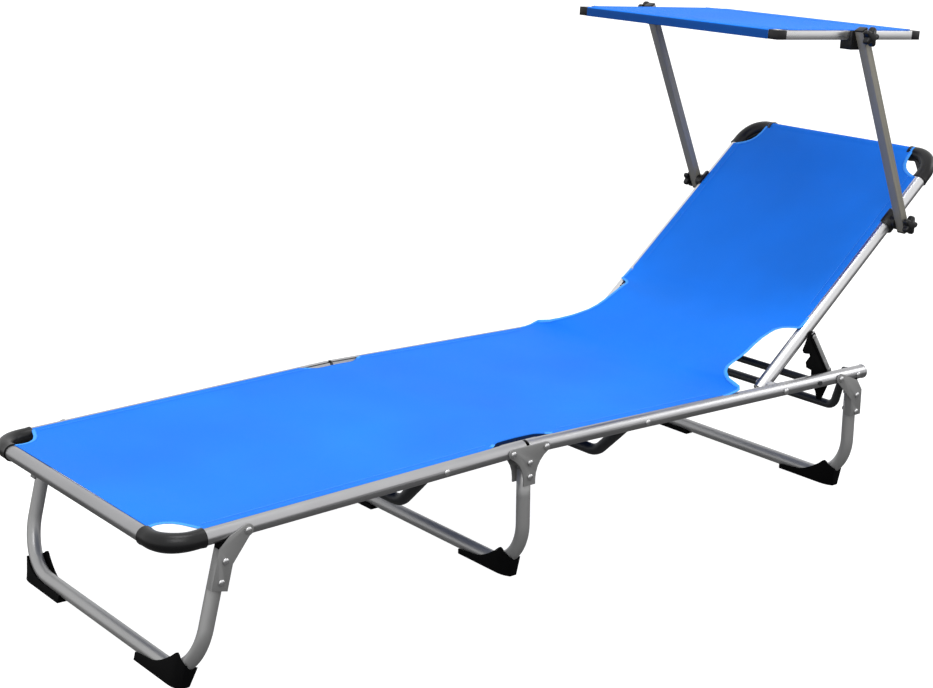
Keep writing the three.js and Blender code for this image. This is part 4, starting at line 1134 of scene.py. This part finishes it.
def bed_line():
    """The middle line of the bed's cloth from foot to head, as place, part of the bed, and distance along it.

    Between the seat's tubes and the backrest's the cloth bridges the corner. There the distance is taken from
    the backrest's pivot.
    """
    seat_end = LAP_START - LAP_BEND
    back_start = LAP_END + LAP_BEND
    low = SEAT @ Vector((LAP_START, 0, CLOTH_LIFT))
    high = BACK @ Vector((LAP_END, 0, CLOTH_LIFT))
    across = (high - low).normalized()
    span = (high - low).length - 2 * LAP_BEND
    count = int(span / (BED_STEP / 2))
    lap = curve(SEAT @ Vector((seat_end, 0, CLOTH_LIFT)), low, low + across * LAP_BEND, 8)
    lap += [low + across * (LAP_BEND + span * i / count) for i in range(1, count)]
    lap += curve(high - across * LAP_BEND, high, BACK @ Vector((back_start, 0, CLOTH_LIFT)), 8)
    points = stations(
        "foot", FOOT, BED_END - FOOT_LENGTH, -HINGE_CORE, lambda x: x < FINE_FOOT or x > -FINE_HINGE)
    points += stations("seat", SEAT, SEAT_START, seat_end - SEAT_START, lambda x: x < FINE_HINGE)
    points += [(place, "lap", place.x - BACK.translation.x) for place in lap]
    points += stations(
        "back", BACK, back_start + BED_STEP / 2, BACK_LENGTH - BED_END, lambda x: x > FINE_TOP)
    wrap = RAIL_RADIUS + TOP_WRAP
    for degrees in (-22, -12, -2, 8, 18, 28):
        angle = math.radians(degrees)
        along = BACK_LENGTH + wrap * math.sin(angle)
        points.append((BACK @ Vector((along, 0, wrap * math.cos(angle))), "back", along))
    return points


def share_at(table, along):
    """A table's value at a distance in metres."""
    return interpolate(table, along * PER_METRE)


def width_at(table, along):
    """A table's width, in metres, at a distance in metres."""
    return share_at(table, along) / PER_METRE


def bed_full_width(part, along):
    """Half of the width to which the side tubes hold the cloth."""
    if part == "lap":
        return BED_HALF_WIDTH + (BACK_HALF_WIDTH - BED_HALF_WIDTH) * share_at(LAP_NARROWING, along)
    return BACK_HALF_WIDTH if part == "back" else BED_HALF_WIDTH


def bed_half_width(part, along):
    full = bed_full_width(part, along)
    if part == "foot":
        return min(full, width_at(FOOT_CORNER, FOOT_LENGTH + along), width_at(HINGE_NOTCH, -along))
    if part == "seat":
        return min(full, width_at(HINGE_NOTCH, along), width_at(LAP_OPENING, along - BACK_PIVOT))
    if part == "lap":
        return width_at(LAP_OPENING, along)
    lap = width_at(LAP_OPENING, along * math.cos(BACK_ANGLE) - LAP_SHIFT)
    return min(full, lap, width_at(BACK_CORNER, BACK_LENGTH - along))


def bed_edge_held(part, along):
    """Where the side tubes hold the cloth's edge."""
    return part != "lap" and bed_half_width(part, along) > bed_full_width(part, along) - EDGE_SLACK


def bed_sag(part, along):
    """Share of the full sag in the middle at this place along the bed."""
    if part == "foot":
        return share_at(FOOT_SAG, FOOT_LENGTH + along)
    if part == "seat":
        return share_at(SEAT_SAG, along)
    if part == "lap":
        return LAP_SAG
    return share_at(BACK_SAG, along) * share_at(TOP_SAG, BACK_LENGTH - along)


def edge_dip(inward):
    """How far a held edge lies below the plain cloth at this distance from its end."""
    climb = clamp((CLIMB_START - inward) / CLIMB_RUN)
    roll = max(0, ROLL_RUN - inward) / ROLL_RUN
    return ROLL_DROP * roll * roll - CLIMB_RISE * climb * climb * (3 - 2 * climb)


def bed_rows(line, settings):
    """One row of points across the cloth for each place on the line."""
    rows = []
    for i, (place, part, along) in enumerate(line):
        tangent = (line[min(i + 1, len(line) - 1)][0] - line[max(i - 1, 0)][0]).normalized()
        normal = Vector((-tangent.z, 0, tangent.x))
        half = bed_half_width(part, along)
        held = bed_edge_held(part, along)
        full = bed_full_width(part, along)
        sag = settings.sag * bed_sag(part, along)
        rise = width_at(LAP_RISE, along) if part == "lap" else 0
        row = []
        for j in range(settings.columns + 1):
            t = 2 * j / settings.columns - 1
            y = (math.sin(t * math.pi / 2) * 0.35 + t * 0.65) * half
            hang = max(0, 1 - (y / full) ** 2)
            dip = sag * hang - rise * abs(y / half) ** 3
            if held:
                dip += edge_dip(full - abs(y))
            ripple = RIPPLE * math.sin(along * RIPPLE_ALONG + y * RIPPLE_ACROSS) * hang
            row.append(place + normal * (ripple - dip) + Vector((0, y, 0)))
        rows.append(row)
    return rows


def sheet_mesh(name, rows, lengths, thickness):
    """A cloth surface with a map in metres, given its thickness downwards."""
    bm = bmesh.new()
    grid = [[bm.verts.new(p) for p in row] for row in rows]
    uv = bm.loops.layers.uv.new("Weave")
    for i in range(len(grid) - 1):
        for j in range(len(grid[0]) - 1):
            corners = ((i, j), (i + 1, j), (i + 1, j + 1), (i, j + 1))
            face = bm.faces.new([grid[a][b] for a, b in corners])
            for loop, (a, b) in zip(face.loops, corners):
                loop[uv].uv = (lengths[a], rows[a][b].y)
    bm.normal_update()
    if sum(face.normal.z for face in bm.faces) < 0:
        bmesh.ops.reverse_faces(bm, faces=bm.faces)
    piece = smooth_object(name, bm, "Blue woven cloth")
    wall = piece.modifiers.new("Thickness", "SOLIDIFY")
    wall.thickness = thickness
    wall.offset = -1
    sharpen(piece, 60)
    return bake(piece, name)


def add_tape(bm, points, normals, width, height):
    """A folded tape along a cut edge: an oval section swept along the edge."""
    rings = []
    for i, (point, normal) in enumerate(zip(points, normals)):
        tangent = (points[min(i + 1, len(points) - 1)] - points[max(i - 1, 0)]).normalized()
        across = tangent.cross(normal).normalized()
        ring = []
        for angle in turns(TAPE_SIDES):
            sideways = across * (math.cos(angle) * width / 2)
            ring.append(bm.verts.new(point + sideways + normal * (math.sin(angle) * height / 2)))
        rings.append(ring)
    skin(bm, rings)


def free_runs(line, a, b):
    """The runs of rows from a to b in which the side tubes let go of the edge."""
    runs = [[]]
    for i in range(a, b + 1):
        if bed_edge_held(line[i][1], line[i][2]):
            runs.append([])
        else:
            runs[-1].append(i)
    return [run for run in runs if len(run) > 2]


def cut_edge(rows, run, edge, width):
    """The middle of the tape along a cut edge, its normals, and the seam beside it."""
    points = []
    normals = []
    seam = []
    for i in run:
        ahead = rows[min(i + 1, len(rows) - 1)][edge] - rows[max(i - 1, 0)][edge]
        inward = rows[i][1 if edge == 0 else -2] - rows[i][edge]
        normal = ahead.cross(inward).normalized()
        if normal.z < 0:
            normal.negate()
        across = normal.cross(ahead.normalized()).normalized()
        if across.dot(inward) < 0:
            across.negate()
        points.append(rows[i][edge] + across * (width / 2 - TAPE_OUT) - normal * TAPE_DOWN)
        normals.append(normal)
        seam.append(rows[i][edge] + across * (width * 0.8) + normal * SEAM_UP)
    return points, normals, seam


class LOUNGER_OT_bed(bpy.types.Operator):
    """Lays the bed's cloth from the foot bar over the hinge and the lap up to the backrest's top bar"""

    bl_idname = "lounger.bed"
    bl_label = "Bed cloth"

    def execute(self, context):
        settings = context.scene.lounger_cloth
        line = bed_line()
        rows = bed_rows(line, settings)
        lengths = [0]
        for (a, _, _), (b, _, _) in zip(line, line[1:]):
            lengths.append(lengths[-1] + (b - a).length)

        def first(wanted, start):
            return next(i for i, (_, part, along) in enumerate(line) if part == wanted and along >= start)

        cuts = (0, first("foot", -HINGE_STRIP), first("seat", 0), first("seat", HINGE_STRIP),
                first("seat", LAP_START - LAP_STRIP), first("back", LAP_END + LAP_STRIP), len(line) - 1)
        foot_bend = ("foot_section", "middle_leg_set", -HINGE_STRIP, -HINGE_CORE)
        seat_bend = ("middle_leg_set", "seat_frame", HINGE_CORE, HINGE_STRIP)
        lap_bend = ("seat_frame", "backrest", back_root_x - LAP_BLEND[0], back_root_x + LAP_BLEND[1])
        # Name, rail that holds it, body and solid, or the two bodies and the places between which it bends
        parts = (
            ("foot_cloth", "foot", "foot_section", "foot_sling", None),
            ("hinge_cloth_foot", "foot", None, None, foot_bend),
            ("hinge_cloth_seat", "foot", None, None, seat_bend),
            ("seat_cloth", "seat", "seat_frame", "seat_sling", None),
            ("lap_cloth", "seat", None, None, lap_bend),
            ("back_cloth", "back", "backrest", "back_sling", None),
        )
        tree = stitch_tree()
        for (name, rail, body, node, bending), a, b in zip(parts, cuts, cuts[1:]):
            strip = rows[a:b + 1]
            steps = lengths[a:b + 1]
            piece = sheet_mesh(name, strip, steps, settings.thickness)
            extras = self.edges(name, line, rows, a, b, settings.binding, tree)
            if node:
                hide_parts(node)
            for item in [piece] + extras:
                settle(item, body)
                if bending:
                    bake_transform(item)
        return {"FINISHED"}

    @staticmethod
    def edges(name, line, rows, a, b, width, tree):
        """The binding of a cloth's cut edges, and the stitches of all its edges. On the hinge pieces the
        binding is a tall dark navy tape hung below the cut edge, painted shade for the gap under the hinge.
        """
        hinge = "hinge" in name
        tape = bmesh.new()
        seams = []
        for sign, edge in ((-1, 0), (1, -1)):
            for run in free_runs(line, a, b):
                points, normals, seam = cut_edge(rows, run, edge, width)
                # painted shade: at the hinge the tape is a tall dark navy strip hung below the cut edge,
                # standing in for the shadow in the gap
                if hinge:
                    hung = [point - normal * HANG_DROP for point, normal in zip(points, normals)]
                    add_tape(tape, hung, normals, width / 2, HANG_HEIGHT)
                else:
                    add_tape(tape, points, normals, width, TAPE_HEIGHT)
                    seams.append(seam)
            beside = Vector((0, -sign * HELD_SEAM[0], HELD_SEAM[1]))
            held = [
                rows[i][edge] + beside for i in range(a, b + 1, 4)
                if bed_edge_held(line[i][1], line[i][2])]
            if len(held) > 2:
                seams.append(held)
        finish = "Navy painted shade tape" if hinge else "Light blue binding"
        extras = [closed_object(f"{name}_binding", tape, finish)]
        if seams:
            extras.append(stitches(f"{name}_stitches", seams, tree))
        return extras


# Sunroof

COVER_THICKNESS = 0.0008
COVER_PROUD = 0.0012
COVER_HANG = 0.0002
COVER_ROUND = 0.004
COVER_SAG = 0.0035
COVER_COLUMNS = 48
COVER_STEPS = 44
CORNER_PLAY = 0.0006
CORNER_RUN = 0.006
SEAM_LIFT = Vector((0, 0, 0.0005))


class LOUNGER_OT_sunroof_cover(bpy.types.Operator):
    """Stretches the sunroof's cover over its frame and round the two cross bars"""

    bl_idname = "lounger.sunroof_cover"
    bl_label = "Sunroof cover"

    def execute(self, context):
        foot = -ROOF_DEPTH / 2 - ROOF_BACK
        head = ROOF_DEPTH / 2 - ROOF_BACK
        half = ROOF_WIDTH / 2
        profile = self.profile(foot, head)
        rows = []
        lengths = [0]
        for i, (x, z, top) in enumerate(profile):
            if i:
                px, pz, _ = profile[i - 1]
                lengths.append(lengths[-1] + math.hypot(x - px, z - pz))
            clear = top * clamp((min(x - foot, head - x) - ROOF_CORNER) / CORNER_RUN)
            width = half - (ROOF_CORNER + CORNER_PLAY) * (1 - clear)
            sag = top * COVER_SAG * math.sin(math.pi * clamp((x - foot) / (head - foot)))
            row = []
            for j in range(COVER_COLUMNS + 1):
                y = width * (2 * j / COVER_COLUMNS - 1)
                row.append(ROOF @ Vector((x, y, z - sag * max(0, 1 - (y / half) ** 2))))
            rows.append(row)
        piece = sheet_mesh("sunroof_cloth", rows, lengths, COVER_THICKNESS)
        piece.data.materials.append(bpy.data.materials["Blue cloth in painted shade"])
        # painted shade: the faces that stand upright along the bed take the darker copy of the cloth
        for face in piece.data.polygons:
            if abs(face.normal.x) > 0.6 * abs(face.normal.z) + 0.6:
                face.material_index = 1
        top = [i for i, (_, _, flat) in enumerate(profile) if flat]
        seams = [[point + SEAM_LIFT for point in rows[i]] for i in (top[3], top[-4])]
        seams += [[rows[i][column] + SEAM_LIFT for i in top[2:-2]] for column in (2, COVER_COLUMNS - 2)]
        thread = stitches("sunroof_stitches", seams, stitch_tree())
        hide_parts("roof_cover")
        for item in (piece, thread):
            settle(item, "sunroof")
        return {"FINISHED"}

    @staticmethod
    def profile(foot, head):
        """The cover's line from hem to hem: x, z, and 1 on its flat top."""
        lift = ROOF_BAR / 2 + COVER_PROUD
        low = -ROOF_BAR / 2 - COVER_HANG
        level = lift - COVER_ROUND
        inner = foot + COVER_ROUND
        span = (head - COVER_ROUND) - inner

        def bend(x, turn):
            return (x + COVER_ROUND * math.cos(turn), level + COVER_ROUND * math.sin(turn), 0)

        quarter = math.pi / 2
        points = [(foot - COVER_PROUD, low + (level - low) * k / 3, 0) for k in range(4)]
        points += [bend(foot - COVER_PROUD + COVER_ROUND, math.pi - quarter * k / 6) for k in range(1, 7)]
        points += [(inner + span * (k / COVER_STEPS), lift, 1) for k in range(1, COVER_STEPS)]
        points += [bend(head + COVER_PROUD - COVER_ROUND, quarter - quarter * k / 6) for k in range(7)]
        points += [(head + COVER_PROUD, level - (level - low) * k / 3, 0) for k in range(1, 4)]
        return points


# Stage

FLOOR_HALF = 30
LIGHT_AIM = Vector((0, 0, 0.3))
# Name, place, width and power of each light
LIGHTS = (
    ("key light", (-2.0, -2.4, 3.2), 2.2, 58),
    ("top light", (-0.5, -0.15, 3.7), 1.2, 36),
    ("head light", (3.0, -1.4, 2.0), 1.4, 20),
)
# Height on the sky, from 0 below to 1 above, and its shade
SKY_SHADES = ((0.40, 0.14), (0.475, 1))


class LOUNGER_OT_stage(bpy.types.Operator):
    """Makes the pale floor, the soft light and the photograph's camera"""

    bl_idname = "lounger.stage"
    bl_label = "Stage"

    def execute(self, context):
        settings = context.scene.lounger_stage
        self.floor(settings)
        self.sky(context.scene, settings)
        for name, place, size, power in LIGHTS:
            light = bpy.data.lights.new(name, "AREA")
            light.shape = "SQUARE"
            light.size = size
            light.energy = power
            lamp = linked(name, light)
            lamp.location = place
            lamp.rotation_euler = (LIGHT_AIM - Vector(place)).to_track_quat("-Z", "Y").to_euler()
        self.camera(context.scene)
        context.scene.view_settings.view_transform = "Standard"
        return {"FINISHED"}

    @staticmethod
    def floor(settings):
        _, tree, bsdf = shader("Pale floor")
        mottle = noise(tree, pattern_coordinates(tree, (2, 2, 2)), 1, 3, 0.5)
        tint(tree, bsdf, mottle, settings.floor, 0.99, 1.01)
        bsdf.inputs["Roughness"].default_value = 0.9
        bsdf.inputs["Specular IOR Level"].default_value = 0.1
        bsdf.inputs["Emission Color"].default_value = (1, 1, 1, 1)
        bsdf.inputs["Emission Strength"].default_value = settings.glow
        bm = bmesh.new()
        bmesh.ops.create_grid(bm, x_segments=1, y_segments=1, size=FLOOR_HALF)
        floor = smooth_object("floor", bm, "Pale floor")
        floor.visible_glossy = False
        floor.visible_diffuse = False

    @staticmethod
    def sky(scene, settings):
        world = bpy.data.worlds.new("Soft sky")
        scene.world = world
        world.use_nodes = True
        nodes = world.node_tree.nodes
        links = world.node_tree.links
        sky = nodes["Background"]
        sky.inputs["Strength"].default_value = settings.light
        height = nodes.new("ShaderNodeSeparateXYZ")
        shades = nodes.new("ShaderNodeValToRGB")
        for element, (place, grey) in zip(shades.color_ramp.elements, SKY_SHADES):
            element.position = place
            element.color = (grey, grey, grey, 1)
        span = nodes.new("ShaderNodeMapRange")
        span.inputs["From Min"].default_value = -1
        links.new(nodes.new("ShaderNodeTexCoord").outputs["Generated"], height.inputs["Vector"])
        links.new(height.outputs["Z"], span.inputs["Value"])
        links.new(span.outputs["Result"], shades.inputs["Fac"])
        links.new(shades.outputs["Color"], sky.inputs["Color"])

    @staticmethod
    def camera(scene):
        forward = Vector((math.cos(CAMERA_PITCH) * math.cos(CAMERA_YAW),
                          math.cos(CAMERA_PITCH) * math.sin(CAMERA_YAW), -math.sin(CAMERA_PITCH)))
        right = Vector((math.sin(CAMERA_YAW), -math.cos(CAMERA_YAW), 0))
        down = forward.cross(right)
        turned_right = right * math.cos(CAMERA_ROLL) + down * math.sin(CAMERA_ROLL)
        turned_down = down * math.cos(CAMERA_ROLL) - right * math.sin(CAMERA_ROLL)
        camera = bpy.data.cameras.new("photo camera")
        camera.sensor_width = SENSOR_WIDTH
        camera.lens = FOCAL_PIXELS * SENSOR_WIDTH / PHOTO_WIDTH
        viewer = linked("photo camera", camera)
        basis = Matrix((turned_right, -turned_down, -forward)).transposed().to_4x4()
        viewer.matrix_world = Matrix.Translation(CAMERA_PLACE) @ basis
        scene.camera = viewer


# Panel and registration


class LOUNGER_PT_panel(bpy.types.Panel):
    """Lists the steps that dress the lounger"""

    bl_idname = "LOUNGER_PT_panel"
    bl_label = "Sun Lounger"
    bl_space_type = "VIEW_3D"
    bl_region_type = "UI"
    bl_category = "Lounger"

    def draw(self, context):
        layout = self.layout
        for group, _ in SETTINGS:
            settings = getattr(context.scene, group)
            box = layout.box()
            for name in settings.__annotations__:
                box.prop(settings, name)
        for operator in OPERATORS:
            layout.operator(operator.bl_idname)


SETTINGS = (
    ("lounger_cloth", ClothSettings),
    ("lounger_metal", MetalSettings),
    ("lounger_plastic", PlasticSettings),
    ("lounger_stage", StageSettings),
)
OPERATORS = (
    LOUNGER_OT_stage,
    LOUNGER_OT_metal,
    LOUNGER_OT_end_caps,
    LOUNGER_OT_legs,
    LOUNGER_OT_braces,
    LOUNGER_OT_rivets,
    LOUNGER_OT_elbows,
    LOUNGER_OT_shoes,
    LOUNGER_OT_knobs,
    LOUNGER_OT_straps,
    LOUNGER_OT_arm_caps,
    LOUNGER_OT_bed,
    LOUNGER_OT_sunroof_cover,
)


def register():
    for name, group in SETTINGS:
        bpy.utils.register_class(group)
        setattr(bpy.types.Scene, name, PointerProperty(type=group))
    for operator in OPERATORS:
        bpy.utils.register_class(operator)
    bpy.utils.register_class(LOUNGER_PT_panel)


def unregister():
    bpy.utils.unregister_class(LOUNGER_PT_panel)
    for operator in reversed(OPERATORS):
        bpy.utils.unregister_class(operator)
    for name, group in reversed(SETTINGS):
        delattr(bpy.types.Scene, name)
        bpy.utils.unregister_class(group)


def main():
    register()
    make_materials(bpy.context.scene)
    for operator in OPERATORS:
        group, name = operator.bl_idname.split(".")
        getattr(getattr(bpy.ops, group), name)()


if __name__ == "__main__":
    main()
